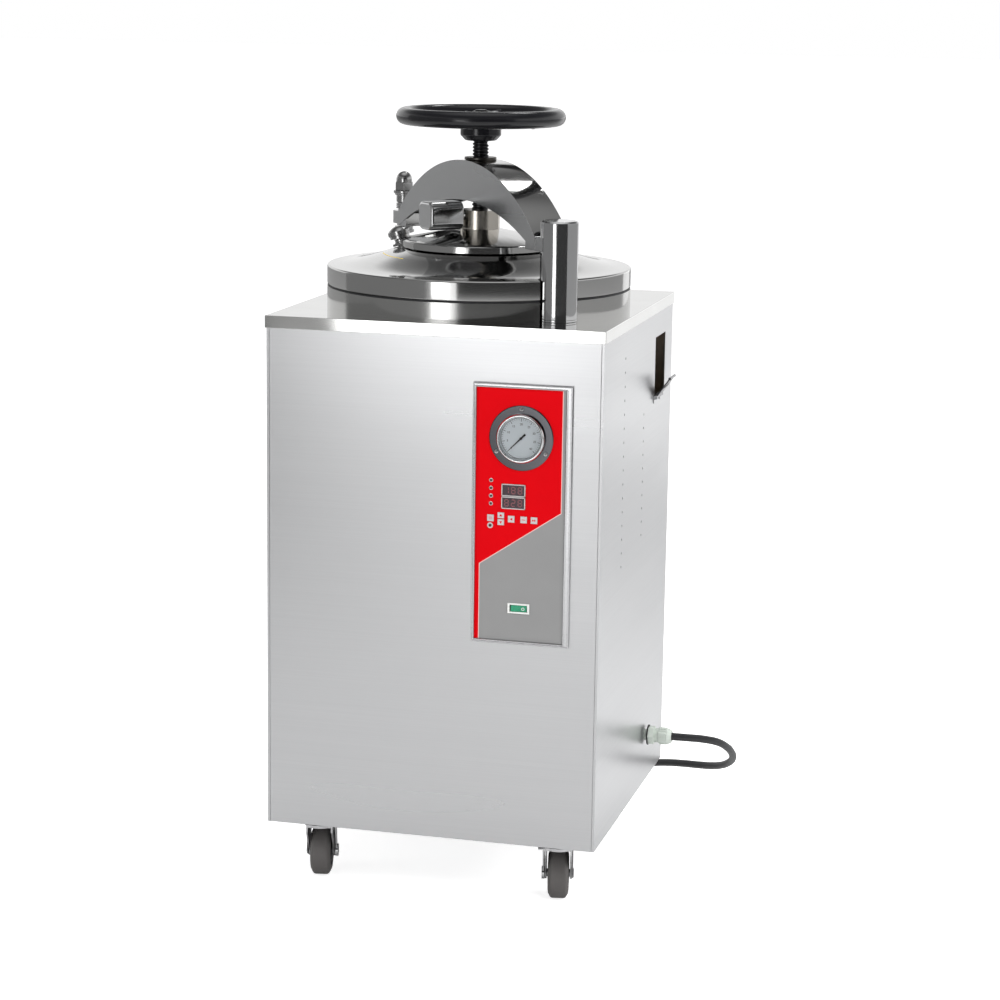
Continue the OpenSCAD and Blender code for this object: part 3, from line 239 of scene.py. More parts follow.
panel_pink = moulded("pink keyline", (0.84, 0.52, 0.50), 0.40, 500, 0.00001, 0.97)
dial_white = moulded("dial face", (0.74, 0.80, 0.84), 0.45, 400, 0.00001, 0.97)
ink_black = moulded("black ink", (0.012, 0.012, 0.014), 0.45, 400, 0.00001, 0.9)
window_dark = moulded("smoked window", (0.030, 0.008, 0.016), 0.18, 300, 0.00001, 0.9, coat_weight=0.4)
segment_dim = moulded("display segment", (0.20, 0.060, 0.070), 0.35, 300, 0.00001, 0.9)
key_grey = moulded("key top", (0.58, 0.55, 0.55), 0.42, 500, 0.00002, 0.96)
lamp_dark = moulded("lamp lens", (0.060, 0.010, 0.012), 0.18, 300, 0.00001, 0.9, coat_weight=0.4)
white_plastic = moulded("white plastic", (0.82, 0.83, 0.81), 0.38, 500, 0.00002, 0.97)
green_plastic = moulded("green rocker", (0.010, 0.30, 0.150), 0.28, 500, 0.00002, 0.9, coat_weight=0.3)
gland_plastic = moulded("light gland plastic", (0.66, 0.72, 0.66), 0.42, 500, 0.00003, 0.95)
seal_rubber = moulded("silicone seal", (0.020, 0.020, 0.022), 0.55, 500, 0.00003)
tyre_rubber = moulded("grey tyre", (0.115, 0.108, 0.105), 0.62, 700, 0.00006)
guard_black = moulded("black guard", (0.018, 0.018, 0.020), 0.42, 600, 0.00004)
cord_rubber = moulded("cord sheath", (0.028, 0.029, 0.031), 0.46, 700, 0.00005)
band_yellow = moulded("yellow band", (0.86, 0.60, 0.03), 0.40, 400, 0.00001, 0.9)
board_green = moulded("circuit board", (0.010, 0.10, 0.035), 0.40, 300, 0.00002)
tray_grey = moulded("electrical tray", (0.42, 0.44, 0.46), 0.40, 300, 0.00002)
rock_wool = moulded("insulation", (0.66, 0.50, 0.32), 0.90, 260, 0.0012, 0.62)
heater_steel = polished("heater sheath", (0.22, 0.20, 0.19), 0.40, 0.08)
basket_steel = polished("basket steel", (0.58, 0.58, 0.57), 0.22, 0.06)
glass = Surface("gauge glass", (1.0, 1.0, 1.0), rough=0.02, transmission_weight=1.0, ior=1.2)
glass.gloss(glass.spread(glass.noise(glass.place(), 30, 2), 0.0, 0.05))


# ---- Shapes ----

def lathe(profile, steps=96, soften=0.0, angle=25):
    """A half section of radius and height pairs, spun about Z."""
    bm = bmesh.new()
    verts = [bm.verts.new((r, 0, h)) for r, h in profile]
    edges = [bm.edges.new(pair) for pair in zip(verts, verts[1:])]
    bmesh.ops.spin(bm, geom=verts + edges, cent=(0, 0, 0), axis=(0, 0, 1), angle=2 * math.pi,
                   steps=steps, use_merge=True)
    return cleaned(bm, soften, angle)


def closed_lathe(profile, steps=96, soften=0.0):
    """A lathe piece whose half section is a closed outline, as a ring's is."""
    return lathe(profile + profile[:1], steps, soften)


def cleaned(bm, soften=0.0, angle=25):
    bmesh.ops.remove_doubles(bm, verts=bm.verts, dist=1e-4)
    bmesh.ops.recalc_face_normals(bm, faces=bm.faces)
    if soften:
        soften_edges(bm, soften, angle)
    return bm


def soften_edges(bm, width, angle=25, segments=2):
    sharp = [e for e in bm.edges
             if len(e.link_faces) == 2 and e.calc_face_angle() > math.radians(angle)]
    bmesh.ops.bevel(bm, geom=sharp, offset=width, offset_type="OFFSET", affect="EDGES",
                    segments=segments, profile=0.5, material=-1, clamp_overlap=True)


def block(lo, hi, soften=0.0):
    lo, hi = Vector(lo), Vector(hi)
    bm = bmesh.new()
    bmesh.ops.create_cube(bm, size=1.0)
    bmesh.ops.scale(bm, vec=hi - lo, verts=bm.verts)
    bmesh.ops.translate(bm, vec=(lo + hi) / 2, verts=bm.verts)
    return cleaned(bm, soften)


def prism(sides, radius, h0, h1, soften=0.0, turn=0.0):
    """An upright bar with flat sides, such as a nut."""
    bm = bmesh.new()
    bmesh.ops.create_cone(bm, cap_ends=True, segments=sides, radius1=radius, radius2=radius, depth=h1 - h0)
    bmesh.ops.rotate(bm, cent=(0, 0, 0), matrix=Matrix.Rotation(turn, 3, "Z"), verts=bm.verts)
    bmesh.ops.translate(bm, vec=(0, 0, (h0 + h1) / 2), verts=bm.verts)
    return cleaned(bm, soften)


def plate(outline, h0, h1, soften=0.0):
    """A flat outline in X and Y, given thickness from h0 to h1."""
    bm = bmesh.new()
    face = bm.faces.new([bm.verts.new((x, y, h0)) for x, y in outline])
    made = bmesh.ops.extrude_face_region(bm, geom=[face])["geom"]
    bmesh.ops.translate(bm, vec=(0, 0, h1 - h0), verts=[v for v in made if isinstance(v, bmesh.types.BMVert)])
    return cleaned(bm, soften)


def sweep(points, radius, sides=16):
    """A round bar along points, with flat closed ends."""
    curve = bpy.data.curves.new("route", "CURVE")
    curve.dimensions = "3D"
    curve.bevel_depth = radius
    curve.bevel_resolution = sides // 4
    curve.use_fill_caps = True
    spline = curve.splines.new("POLY")
    spline.points.add(len(points) - 1)
    for point, at in zip(spline.points, points):
        point.co = (*at, 1.0)
    holder = bpy.data.objects.new("route", curve)
    mesh = bpy.data.meshes.new_from_object(holder)
    bm = bmesh.new()
    bm.from_mesh(mesh)
    bpy.data.objects.remove(holder)
    bpy.data.curves.remove(curve)
    bpy.data.meshes.remove(mesh)
    return cleaned(bm)


def helix(radius, pitch, turns, h0, steps=24):
    count = int(turns * steps)
    return [(radius * math.cos(2 * math.pi * i / steps), radius * math.sin(2 * math.pi * i / steps),
             h0 + pitch * i / steps) for i in range(count + 1)]


def thread(root, crest, pitch, h0, h1, steps=32):
    """A screw thread: one trapezium tooth, spun up the bar."""
    bm = bmesh.new()
    tooth = [(root, 0.0), (crest, 0.28), (crest, 0.62), (root, 0.9)]
    verts = [bm.verts.new((r, 0, h0 + k * pitch)) for r, k in tooth]
    edges = [bm.edges.new(pair) for pair in zip(verts, verts[1:] + verts[:1])]
    turns = (h1 - h0) / pitch - 1
    bmesh.ops.spin(bm, geom=verts + edges, cent=(0, 0, 0), axis=(0, 0, 1), angle=2 * math.pi * turns,
                   steps=int(turns * steps), dvec=(0, 0, pitch / steps))
    bmesh.ops.holes_fill(bm, edges=[e for e in bm.edges if e.is_boundary])
    bmesh.ops.recalc_face_normals(bm, faces=bm.faces)
    return bm


def lettering(text, size, depth=0.15):
    """Plain numerals as thin raised shapes, centred on the origin in X and Y."""
    curve = bpy.data.curves.new("numeral", "FONT")
    curve.body = text
    curve.size = size
    curve.align_x = "CENTER"
    curve.align_y = "CENTER"
    curve.extrude = depth / 2
    holder = bpy.data.objects.new("numeral", curve)
    mesh = bpy.data.meshes.new_from_object(holder)
    bm = bmesh.new()
    bm.from_mesh(mesh)
    bpy.data.objects.remove(holder)
    bpy.data.meshes.remove(mesh)
    return cleaned(bm)


def placed(x=0.0, y=0.0, z=0.0):
    return Matrix.Translation((x, y, z))


def turned_to(axis, degrees):
    return Matrix.Rotation(math.radians(degrees), 4, axis)


# Points a shape's own Z axis out of the front panel, and its own Y axis up
OUT_FRONT = turned_to("X", 90)
# Points a shape's own Z axis along the machine's right
OUT_RIGHT = turned_to("Y", 90)


def make(name, body, finishes, parts, stands_for=(), sharp=30):
    """Joins parts, each (shape, place, finish number), into one piece that rides on a body."""
    whole = bmesh.new()
    for shape, place, finish in parts:
        for face in shape.faces:
            face.material_index = finish if finish is not None else face.material_index
        bmesh.ops.transform(shape, matrix=place, verts=shape.verts)
        mesh = bpy.data.meshes.new("part")
        shape.to_mesh(mesh)
        shape.free()
        whole.from_mesh(mesh)
        bpy.data.meshes.remove(mesh)
    bmesh.ops.scale(whole, vec=(MM, MM, MM), verts=whole.verts)
    mesh = bpy.data.meshes.new(name)
    whole.to_mesh(mesh)
    whole.free()
    for finish in finishes:
        mesh.materials.append(finish.material)
    mesh.shade_smooth()
    mesh.set_sharp_from_angle(angle=math.radians(sharp))
    piece = bpy.data.objects.new(name, mesh)
    bpy.context.collection.objects.link(piece)
    shading = piece.modifiers.new("even shading", "WEIGHTED_NORMAL")
    shading.keep_sharp = True
    shading.weight = 100
    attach(piece, body)
    if stands_for:
        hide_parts(*stands_for)
    return piece


def cad_copy(node):
    """A CAD node's shape in millimetres, merged and with its flat faces joined up."""
    bm = bmesh.new()
    bm.from_mesh(frame["nodes"][node].data)
    bmesh.ops.scale(bm, vec=(1 / MM, 1 / MM, 1 / MM), verts=bm.verts)
    bmesh.ops.remove_doubles(bm, verts=bm.verts, dist=0.002)
    bmesh.ops.dissolve_limit(bm, angle_limit=math.radians(0.5), verts=bm.verts, edges=bm.edges)
    return bm


def refined(node, finishes, width=0.5, choose=None, angle=30, extra=()):
    """A CAD node with its edges eased. choose(face) picks the finish of each face."""
    bm = cad_copy(node)
    for face in bm.faces:
        face.material_index = choose(face) if choose else 0
    if width:
        soften_edges(bm, width, angle)
    return make(node + "_finished", BODY_OF[node], finishes, [(bm, Matrix(), None), *extra],
                [node])


def dress(finish, *nodes):
    """Gives CAD nodes that stay as they are a finish."""
    for node in nodes:
        mesh = frame["nodes"][node].data
        if not mesh.materials:
            mesh.materials.append(finish.material)
        for held in frame["nodes"][node].material_slots:
            held.material = finish.material


# ---- Mains cord ----

CORD = [(293, 112, 177), (318, 113, 177), (342, 119, 175), (362, 134, 168), (373, 156, 155),
        (377, 182, 139), (375, 210, 122), (366, 237, 106), (350, 262, 92), (329, 285, 82),
        (303, 306, 75), (274, 326, 69), (244, 346, 62), (214, 365, 53), (183, 381, 41),
        (151, 395, 27), (119, 405, 14), (88, 410, 7), (60, 410, 6)]
TAIL = [(60, 410, 42), (37, 405, 45), (18, 392, 49), (5, 373, 53), (0, 350, 54)]
CORD_D = 12
COIL_AT = (60, 343)
COIL_R = 67
COIL_TURNS = 3
COIL_STEPS = 24


def coil_route():
    """The stored turns, counter-clockwise from above, each a cord's diameter above the last."""
    count = COIL_TURNS * COIL_STEPS
    for i in range(1, count):
        a = math.radians(90) + 2 * math.pi * i / COIL_STEPS
        yield (COIL_AT[0] + COIL_R * math.cos(a), COIL_AT[1] + COIL_R * math.sin(a),
               CORD_D / 2 + CORD_D * i / COIL_STEPS)


def mains_cord():
    """The cord in one smooth curve, from the gland down behind the cabinet and round the coil."""
    curve = bpy.data.curves.new("mains_cord", "CURVE")
    curve.dimensions = "3D"
    curve.bevel_depth = CORD_D / 2 * MM
    curve.bevel_resolution = 5
    curve.resolution_u = 8
    curve.use_fill_caps = True
    spline = curve.splines.new("BEZIER")
    route = [*CORD, *coil_route(), *TAIL]
    spline.bezier_points.add(len(route) - 1)
    for point, at in zip(spline.bezier_points, route):
        point.co = Vector(at) * MM
        point.handle_left_type = point.handle_right_type = "AUTO"
    curve.materials.append(cord_rubber.material)
    cord = bpy.data.objects.new("mains_cord", curve)
    bpy.context.collection.objects.link(cord)
    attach(cord, BODY_OF["power_cord"])
    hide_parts("power_cord", "cord_coil")
    return cord


def power_plug():
    """Moulded plug lying on the coil: a ribbed relief, a gripped body and two round pins."""
    at = placed(0, 350, 54) @ turned_to("Z", -90)
    relief = [(0, 0), (6.6, 0)]
    for i in range(6):
        r = 6.6 + 0.42 * i
        relief += [(r + 0.6, 1.5 + 4 * i), (r + 0.7, 3.6 + 4 * i), (r - 0.5, 4.1 + 4 * i), (r - 0.4, 5.0 + 4 * i)]
    relief += [(9, 26), (0, 26)]
    body = block((26, -17, -6), (58, 17, 12))
    nose = [v for v in body.verts if v.co.x < 30]
    bmesh.ops.scale(body, vec=(1, 0.72, 0.84), space=Matrix.Translation((0, 0, -3)), verts=nose)
    soften_edges(body, 3.2, 20, 4)
    parts = [(lathe(relief, 48, 0.2), at @ OUT_RIGHT, 0), (body, at, 0)]
    for i in range(4):
        for side in (-1, 1):
            rib = block((36 + i * 4.5, side * 15.6 - 0.9, -3.5), (38 + i * 4.5, side * 15.6 + 0.9, 9.5), 0.6)
            parts.append((rib, at, 0))
    for y in (-9.5, 9.5):
        pin = lathe([(0, 57), (2.4, 57), (2.4, 76), (1.4, 77), (0, 77)], 32, 0.2)
        parts.append((pin, at @ placed(0, y, 3) @ OUT_RIGHT, 1))
    return make("mains_plug", BODY_OF["power_plug"], [cord_rubber, chrome], parts, ["power_plug"])


def coil_tie():
    """The band that holds the coil's turns together."""
    w, h, t = CORD_D / 2 + 0.6, CORD_D * COIL_TURNS + CORD_D + 0.4, 0.9
    outline = [(-w - t, 0), (w + t, 0), (w + t, h + t), (-w - t, h + t)]
    hole = [(-w, t), (w, t), (w, h), (-w, h)]
    bm = bmesh.new()
    rims = [[bm.verts.new((x, 0, z)) for x, z in ring] for ring in (outline, hole)]
    for i in range(4):
        j = (i + 1) % 4
        bm.faces.new((rims[0][i], rims[0][j], rims[1][j], rims[1][i]))
    made = bmesh.ops.extrude_face_region(bm, geom=bm.faces[:])["geom"]
    bmesh.ops.translate(bm, vec=(0, 9, 0), verts=[v for v in made if isinstance(v, bmesh.types.BMVert)])
    at = placed(COIL_AT[0] + COIL_R, COIL_AT[1] - 4.5, 0)
    head = block((w + t - 0.4, 1.5, h / 2 - 4), (w + t + 2.6, 7.5, h / 2 + 4), 0.6)
    return make("coil_tie", BODY_OF["power_cord"], [guard_black], [(cleaned(bm, 0.25), at, 0), (head, at, 0)])


def cable_gland():
    """A hexagon nut and a ridged cap nut on a threaded stem, and the tapered relief that the cord leaves through.
    """
    lo, hi = low("cable_gland"), high("cable_gland")
    wall = high("right_panel").x - 1.4
    y, z = mid("cable_gland").y, mid("cable_gland").z
    at = placed(wall, y, z) @ OUT_RIGHT
    stem = lathe([(0, lo.x - wall), (8.8, lo.x - wall), (8.8, 0), (11, 0), (11, 18.5), (0, 18.5)], 48, 0.3)
    washer = lathe([(0, 0), (16, 0), (16, 1.6), (0, 1.6)], 48, 0.4)
    screw = thread(10.4, 11.4, 1.6, 10.5, 19.5, 32)
    base = prism(6, 14.8, 1.6, 11, 0.9)
    cap = prism(6, 14.3, 18, 31, 1.1, math.radians(30))
    relief = lathe([(0, 31), (13, 31), (12.4, 33.5), (9.6, 38.5), (8.6, hi.x - wall), (6.1, hi.x - wall),
                    (6.1, 36), (0, 36)], 48, 0.5)
    parts = [(stem, at, 0), (washer, at, 1), (screw, at, 0), (base, at, 0), (cap, at, 0), (relief, at, 0)]
    for i in range(18):
        a = 2 * math.pi * i / 18
        rib = block((12.6, -0.7, 19.5), (13.6, 0.7, 30), 0.3)
        parts.append((rib, at @ turned_to("Z", math.degrees(a)), 0))
    return make("cable_gland_ribbed", BODY_OF["cable_gland"], [gland_plastic, seal_rubber], parts,
                ["cable_gland"])


plug_piece = power_plug()
gland_piece = cable_gland()
tie_piece = coil_tie()
cord_piece = mains_cord()


# ---- Cabinet ----

DECK = high("deck_plate").z


# Faces that look left or right take the sides' lighter steel, which carries painted light.
def is_side_face(face):
    return 1 if abs(face.normal.x) > 0.7 else 0


refined("front_panel", [front_steel], 0.4)
refined("back_panel", [front_steel], 0.3)
refined("left_panel", [front_steel, side_steel_painted_lighter], 0.35, is_side_face)
refined("right_panel", [front_steel, side_steel_painted_lighter], 0.35, is_side_face)
refined("deck_plate", [deck_steel], 1.0)
refined("base_frame", [frame_steel], 0.6)
dress(frame_steel, "base_plate")
dress(brass, "pipework")
dress(tray_grey, "electrical_tray")
dress(board_green, "control_board")
dress(rock_wool, "insulation_jacket")
dress(heater_steel, "heating_element")
dress(basket_steel, "basket", "basket_stand")


def screw_head(r, h):
    """A low domed screw head."""
    return lathe([(0, h), (r * 0.45, h * 0.96), (r * 0.8, h * 0.72), (r, h * 0.2), (r, 0), (0, 0)], 32, 0.1)


def cross_recess_shade(r, h):
    """The cross recess in a screw's head as painted shade: flat black bars laid on the head, with no recess cut.
    """
    return [block((-r * 0.55, -r * 0.11, h - 0.25), (r * 0.55, r * 0.11, h + 0.04)),
            block((-r * 0.11, -r * 0.55, h - 0.25), (r * 0.11, r * 0.55, h + 0.04))]


def back_screws():
    parts = []
    face = high("back_panel").y
    lo, hi = low("back_panel"), high("back_panel")
    for x in (lo.x + 14, 0, hi.x - 14):
        for z in (lo.z + 20, (lo.z + hi.z) / 2, hi.z - 40):
            at = placed(x, face, z) @ turned_to("X", -90)
            parts.append((screw_head(4, 1.8), at, 0))
            # The black cross is painted shade for the screw's recess.
            parts += [(mark, at, 1) for mark in cross_recess_shade(4, 1.8)]
    return make("back_panel_screws", "cabinet", [zinc, ink_black], parts)


back_screws()


# ---- Side handles ----

for side in ("right", "left"):
    # The handles' chrome carries a painted dark reflection.
    refined("side_handle_" + side, [chrome_painted_dark_reflection], 0.5)


# ---- Control panel ----

FASCIA_LO, FASCIA_HI = low("control_fascia"), high("control_fascia")
FASCIA_Y = FASCIA_LO.y
# The red field's corners, from the fascia's top left corner
RED_RIGHT = 125.5
RED_SPLIT_RIGHT = -175.7
RED_SPLIT_LEFT = -256
RED_STRIP = 6.1
KEYLINE = 1.1


def bead_frame(lo, hi, y, r):
    """A rounded bead along a rectangle's four sides, from corner to corner."""
    corners = [(lo.x, y, lo.z), (hi.x, y, lo.z), (hi.x, y, hi.z), (lo.x, y, hi.z)]
    return [(sweep([a, b], r, 12), Matrix(), 0) for a, b in zip(corners, corners[1:] + corners[:1])]


def bezel():
    """Cast rim with a bead along its outer edge and another round the fascia."""
    lo, hi = low("control_bezel"), high("control_bezel")
    inset = Vector((1.6, 0, 1.6))
    beads = bead_frame(lo + inset, hi - inset, lo.y + 0.5, 1.3)
    beads += bead_frame(FASCIA_LO - inset, FASCIA_HI + inset, lo.y + 0.4, 1.2)
    refined("control_bezel", [bezel_steel], 0.4, extra=beads)


bezel()


def fascia():
    """The printed plate: a red field with a slanting foot, a pale keyline and a grey field."""
    bm = cad_copy("control_fascia")
    left, top = FASCIA_LO.x, FASCIA_HI.z
    corner_left = Vector((left + RED_STRIP, 0, top + RED_SPLIT_LEFT))
    corner_right = Vector((left + RED_RIGHT, 0, top + RED_SPLIT_RIGHT))
    slant = (corner_right - corner_left).normalized()
    down = Vector((slant.z, 0, -slant.x))
    cuts = [(corner_left, down), (corner_left + down * KEYLINE, down),
            (corner_left, Vector((1, 0, 0))), (corner_left + Vector((KEYLINE, 0, 0)), Vector((1, 0, 0))),
            (corner_right, Vector((1, 0, 0))), (corner_right + Vector((KEYLINE, 0, 0)), Vector((1, 0, 0)))]
    for point, normal in cuts:
        bmesh.ops.bisect_plane(bm, geom=bm.verts[:] + bm.edges[:] + bm.faces[:], plane_co=point,
                               plane_no=normal)

    def past(point, normal, centre):
        return (centre - point).dot(normal)

    for face in bm.faces:
        c = face.calc_center_median()
        below = past(corner_left, down, c)
        beside = c.x - corner_left.x
        beyond = c.x - corner_right.x
        red = beside < 0 or (below < 0 and beyond < 0)
        line = (not red and 0 <= beside < KEYLINE) or (not red and below < KEYLINE and beyond < KEYLINE)
        front = face.normal.y < -0.7
        face.material_index = 2 if not front else 0 if red else 1 if line else 2
    return make("control_fascia_printed", "cabinet", [panel_red, panel_pink, panel_grey],
                [(bm, Matrix(), None)], ["control_fascia"])


fascia()


def gauge():
    """Dial gauge: polished case and flange, and three screws."""
    centre = mid("gauge_dial")
    flange_face = FASCIA_Y - 2
    at = placed(centre.x, 0, centre.z)
    front = low("gauge_case").y
    # The flange's chrome carries a painted dark reflection.
    flange = closed_lathe([(35.6, -FASCIA_Y), (47, -FASCIA_Y), (47, -FASCIA_Y + 1.2), (46, -FASCIA_Y + 2),
                           (35.6, -FASCIA_Y + 2)], 128, 0.15)
    rim = closed_lathe([(35.4, -FASCIA_Y + 0.5), (35.4, -front - 2.5), (33.6, -front), (31.9, -front),
                        (31.2, -front - 1.8), (32.2, -front - 2.4), (33.3, -FASCIA_Y + 0.5)], 128, 0.5)
    parts = [(flange, at @ OUT_FRONT, 0), (rim, at @ OUT_FRONT, 1)]
    for a in (90, 210, 330):
        spot = placed(centre.x + 41.5 * math.cos(math.radians(a)), flange_face,
                      centre.z + 41.5 * math.sin(math.radians(a))) @ OUT_FRONT
        parts.append((screw_head(3, 1.6), spot, 2))
        # The black cross is painted shade for the screw's recess.
        parts += [(mark, spot, 3) for mark in cross_recess_shade(3, 1.6)]
    back = high("gauge_case").y
    can = lathe([(0, -back), (7, -back), (7, -back + 20), (35.3, -back + 20), (35.3, -FASCIA_Y), (0, -FASCIA_Y)],
                96, 0.5)
    parts.append((can, at @ OUT_FRONT, 0))
    return make("gauge_case_polished", "cabinet", [chrome_painted_dark_reflection, chrome, zinc, ink_black], parts,
                ["gauge_case"])


def gauge_dial():
    """White dial with ticks, an arc and numerals."""
    centre = mid("gauge_dial")
    face = low("gauge_dial").y
    at = placed(centre.x, face, centre.z) @ OUT_FRONT
    parts = [(lathe([(0, 0), (33.2, 0), (33.2, -1), (0, -1)], 96, 0.1), at, 0)]
    for i in range(41):
        a = 225 - i * 270 / 40
        major = i % 5 == 0
        length = 4.2 if major else 2.3
        tick = block((28.6 - length, -0.32 if major else -0.16, 0.02), (28.6, 0.32 if major else 0.16, 0.12))
        parts.append((tick, at @ turned_to("Z", a), 1))
    for i in range(9):
        a = math.radians(225 - i * 270 / 8)
        spot = placed(20.2 * math.cos(a), 20.2 * math.sin(a), 0.1)
        parts.append((lettering(str(i * 5), 4.4), at @ spot, 1))
    arc_band = closed_lathe([(29.2, 0.02), (29.8, 0.02), (29.8, 0.1), (29.2, 0.1)], 96)
    parts.append((arc_band, at, 1))
    return make("gauge_dial_printed", "cabinet", [dial_white, ink_black], parts, ["gauge_dial"])


gauge()
gauge_dial()
refined("gauge_needle", [ink_black], 0.08)
dress(glass, "gauge_glass")


# Segments lit for each digit: top, upper right, lower right, bottom, lower left, upper left, middle
DIGITS = {"1": "0110000", "2": "1101101", "8": "1111111", "0": "1111110"}


def seven_segment(digit, width, height, bar):
    """Bars of one digit, centred, in X and Y."""
    w, h, b = width / 2, height / 2, bar / 2
    spots = [((-w, h - b), (w, h + b)), ((w - b, 0), (w + b, h)), ((w - b, -h), (w + b, 0)),
             ((-w, -h - b), (w, -h + b)), ((-w - b, -h), (-w + b, 0)), ((-w - b, 0), (-w + b, h)),
             ((-w, -b), (w, b))]
    gap = bar * 0.35
    for on, (lo, hi) in zip(DIGITS[digit], spots):
        if on == "1":
            wide = hi[0] - lo[0] > hi[1] - lo[1]
            ease = (gap, 0) if wide else (0, gap)
            yield block((lo[0] + ease[0], lo[1] + ease[1], 0), (hi[0] - ease[0], hi[1] - ease[1], 0.12))


def displays():
    """The two readouts in their pale frame, and the lamps beside them."""
    left, top = FASCIA_LO.x, FASCIA_HI.z
    x, z = left + 55.7, top - 155.9
    w, h, gap = 35.0, 17.6, 0.8
    face = FASCIA_Y - 0.4
    parts = []
    for side, number in ((1, "188"), (-1, "828")):
        zc = z + side * (h / 2 + gap / 2)
        at = placed(x, face, zc) @ OUT_FRONT
        parts.append((block((-w / 2 + 1.3, -h / 2 + 1.3, 0), (w / 2 - 1.3, h / 2 - 1.3, 0.6), 0.2), at, 0))
        for k, digit in enumerate(number):
            for bar in seven_segment(digit, 5.2, 9.2, 1.5):
                parts.append((bar, at @ placed(-9.8 + 9.8 * k, 0, 0.6), 1))
        for lo, hi in (((-w / 2, -h / 2), (w / 2, -h / 2 + 1.3)), ((-w / 2, h / 2 - 1.3), (w / 2, h / 2)),
                       ((-w / 2, -h / 2), (-w / 2 + 1.3, h / 2)), ((w / 2 - 1.3, -h / 2), (w / 2, h / 2))):
            parts.append((block((*lo, 0), (*hi, 0.75), 0.15), at, 2))
    lens = [(0, 1.4), (1.2, 1.2), (1.9, 0.6), (2.0, 0), (2.0, -1), (0, -1)]
    for i in range(4):
        spot = placed(left + 22.7, FASCIA_Y, top - 133.6 - i * 11.3) @ OUT_FRONT
        parts.append((lathe(lens, 24), spot, 3))
        parts.append((closed_lathe([(2.0, 0), (2.9, 0), (2.9, 0.35), (2.0, 0.5)], 24), spot, 4))
    ring_spot = placed(left + 22, FASCIA_Y, top - 199.5) @ OUT_FRONT
    parts.append((lathe(lens, 24), ring_spot, 3))
    parts.append((closed_lathe([(2.4, 0), (4.2, 0), (4.2, 0.5), (2.4, 0.5)], 32, 0.1), ring_spot, 2))
    return make("displays_and_lamps", "cabinet", [window_dark, segment_dim, key_grey, lamp_dark, zinc], parts)


displays()

MARK_LINE = 0.9


def key_mark(kind):
    """A small sign for a key's face, about 5 mm across."""
    if kind in ("up", "down"):
        flip = 1 if kind == "up" else -1
        return [plate([(-2.2, -1.3 * flip), (2.2, -1.3 * flip), (0, 2.0 * flip)][::flip], 0, 0.15)]
    if kind == "start":
        return [plate([(-2.6, -1.7), (-2.6, 1.7), (0, 0)][::-1], 0, 0.15),
                plate([(0.2, -1.7), (0.2, 1.7), (2.8, 0)][::-1], 0, 0.15)]
    if kind == "shift":
        return [plate([(1.8, -2.1), (1.8, 2.1), (-1.9, 0)], 0, 0.15)]
    if kind == "clear":
        return [block((-2.6, -MARK_LINE / 2, 0), (2.6, MARK_LINE / 2, 0.15))]
    bar = MARK_LINE / 2
    return [block((-2.4, y - bar / 2, 0), (2.4, y + bar / 2, 0.15)) for y in (-1.4, 0, 1.4)]


for kind in ("cycle", "up", "down", "shift", "clear", "start"):
    node = "key_" + kind
    centre = mid(node)
    key_front = placed(centre.x, low(node).y, centre.z) @ OUT_FRONT
    refined(node, [key_grey, panel_red], 0.35,
            extra=[(mark, key_front, 1) for mark in key_mark(kind)])

refined("switch_housing", [white_plastic], 0.5)


def rocker():
    """The rocker's face carries a bar at one end and a ring at the other."""
    centre = mid("rocker_switch")
    tilt = math.radians(7)
    lo = low("rocker_switch")
    bar_at = placed(centre.x - 6.2, lo.y + 2.3, centre.z) @ Matrix.Rotation(tilt, 4, "Z") @ OUT_FRONT
    bar = block((-0.5, -2.2, 0), (0.5, 2.2, 0.3), 0.1)
    ring = closed_lathe([(1.5, 0), (2.3, 0), (2.3, 0.3), (1.5, 0.3)], 32)
    ring_at = placed(centre.x + 6.4, lo.y + 0.9, centre.z) @ Matrix.Rotation(tilt, 4, "Z") @ OUT_FRONT
    refined("rocker_switch", [green_plastic, white_plastic], 0.4,
            extra=[(bar, bar_at, 1), (ring, ring_at, 1)])


rocker()


# ---- Chamber, seal and lid ----

def cut(shape, tool):
    """The shape less the tool."""
    holders = []
    for bm in (shape, tool):
        mesh = bpy.data.meshes.new("blank")
        bm.to_mesh(mesh)
        bm.free()
        holder = bpy.data.objects.new("blank", mesh)
        bpy.context.collection.objects.link(holder)
        holders.append(holder)
    knife = holders[0].modifiers.new("cut", "BOOLEAN")
    knife.operation = "DIFFERENCE"
    knife.solver = "EXACT"
    knife.object = holders[1]
    done = bpy.data.meshes.new_from_object(holders[0].evaluated_get(bpy.context.evaluated_depsgraph_get()))
    bm = bmesh.new()
    bm.from_mesh(done)
    for holder in holders:
        bpy.data.objects.remove(holder)
    bpy.data.meshes.remove(done)
    return bm


# The beam runs from the pivot post, at PIVOT_S from the lid's middle, to the lock bolt opposite
PIVOT_S = 228.0
BEAM_TURN = turned_to("Z", -45)
ON_DECK = placed(0, 0, DECK)
AT_PIVOT = BEAM_TURN @ placed(PIVOT_S, 0, 0)
NOTCH_R = 29.9


def notch(h0, h1):
    bm = lathe([(0, h0), (NOTCH_R, h0), (NOTCH_R, h1), (0, h1)], 96)
    bmesh.ops.transform(bm, matrix=AT_PIVOT, verts=bm.verts)
    return bm


# Heights over the deck, and the radius of the sphere that the dome is cut from
DOME_R = 446.66
DOME_TOP = 98.8
SKIRT_TOP = 58.5


def dome_at(r):
    return DOME_TOP - DOME_R + math.sqrt(DOME_R * DOME_R - r * r)


def arc(cx, cy, r, a0, a1, count):
    steps = [math.radians(a0 + (a1 - a0) * i / count) for i in range(count + 1)]
    return [(cx + r * math.cos(a), cy + r * math.sin(a)) for a in steps]


# The shoulder starts and ends at these radii
BLEND_IN, BLEND_OUT = 140.0, 216.0
SKIRT_R = 228
SKIRT_ROLL = 3


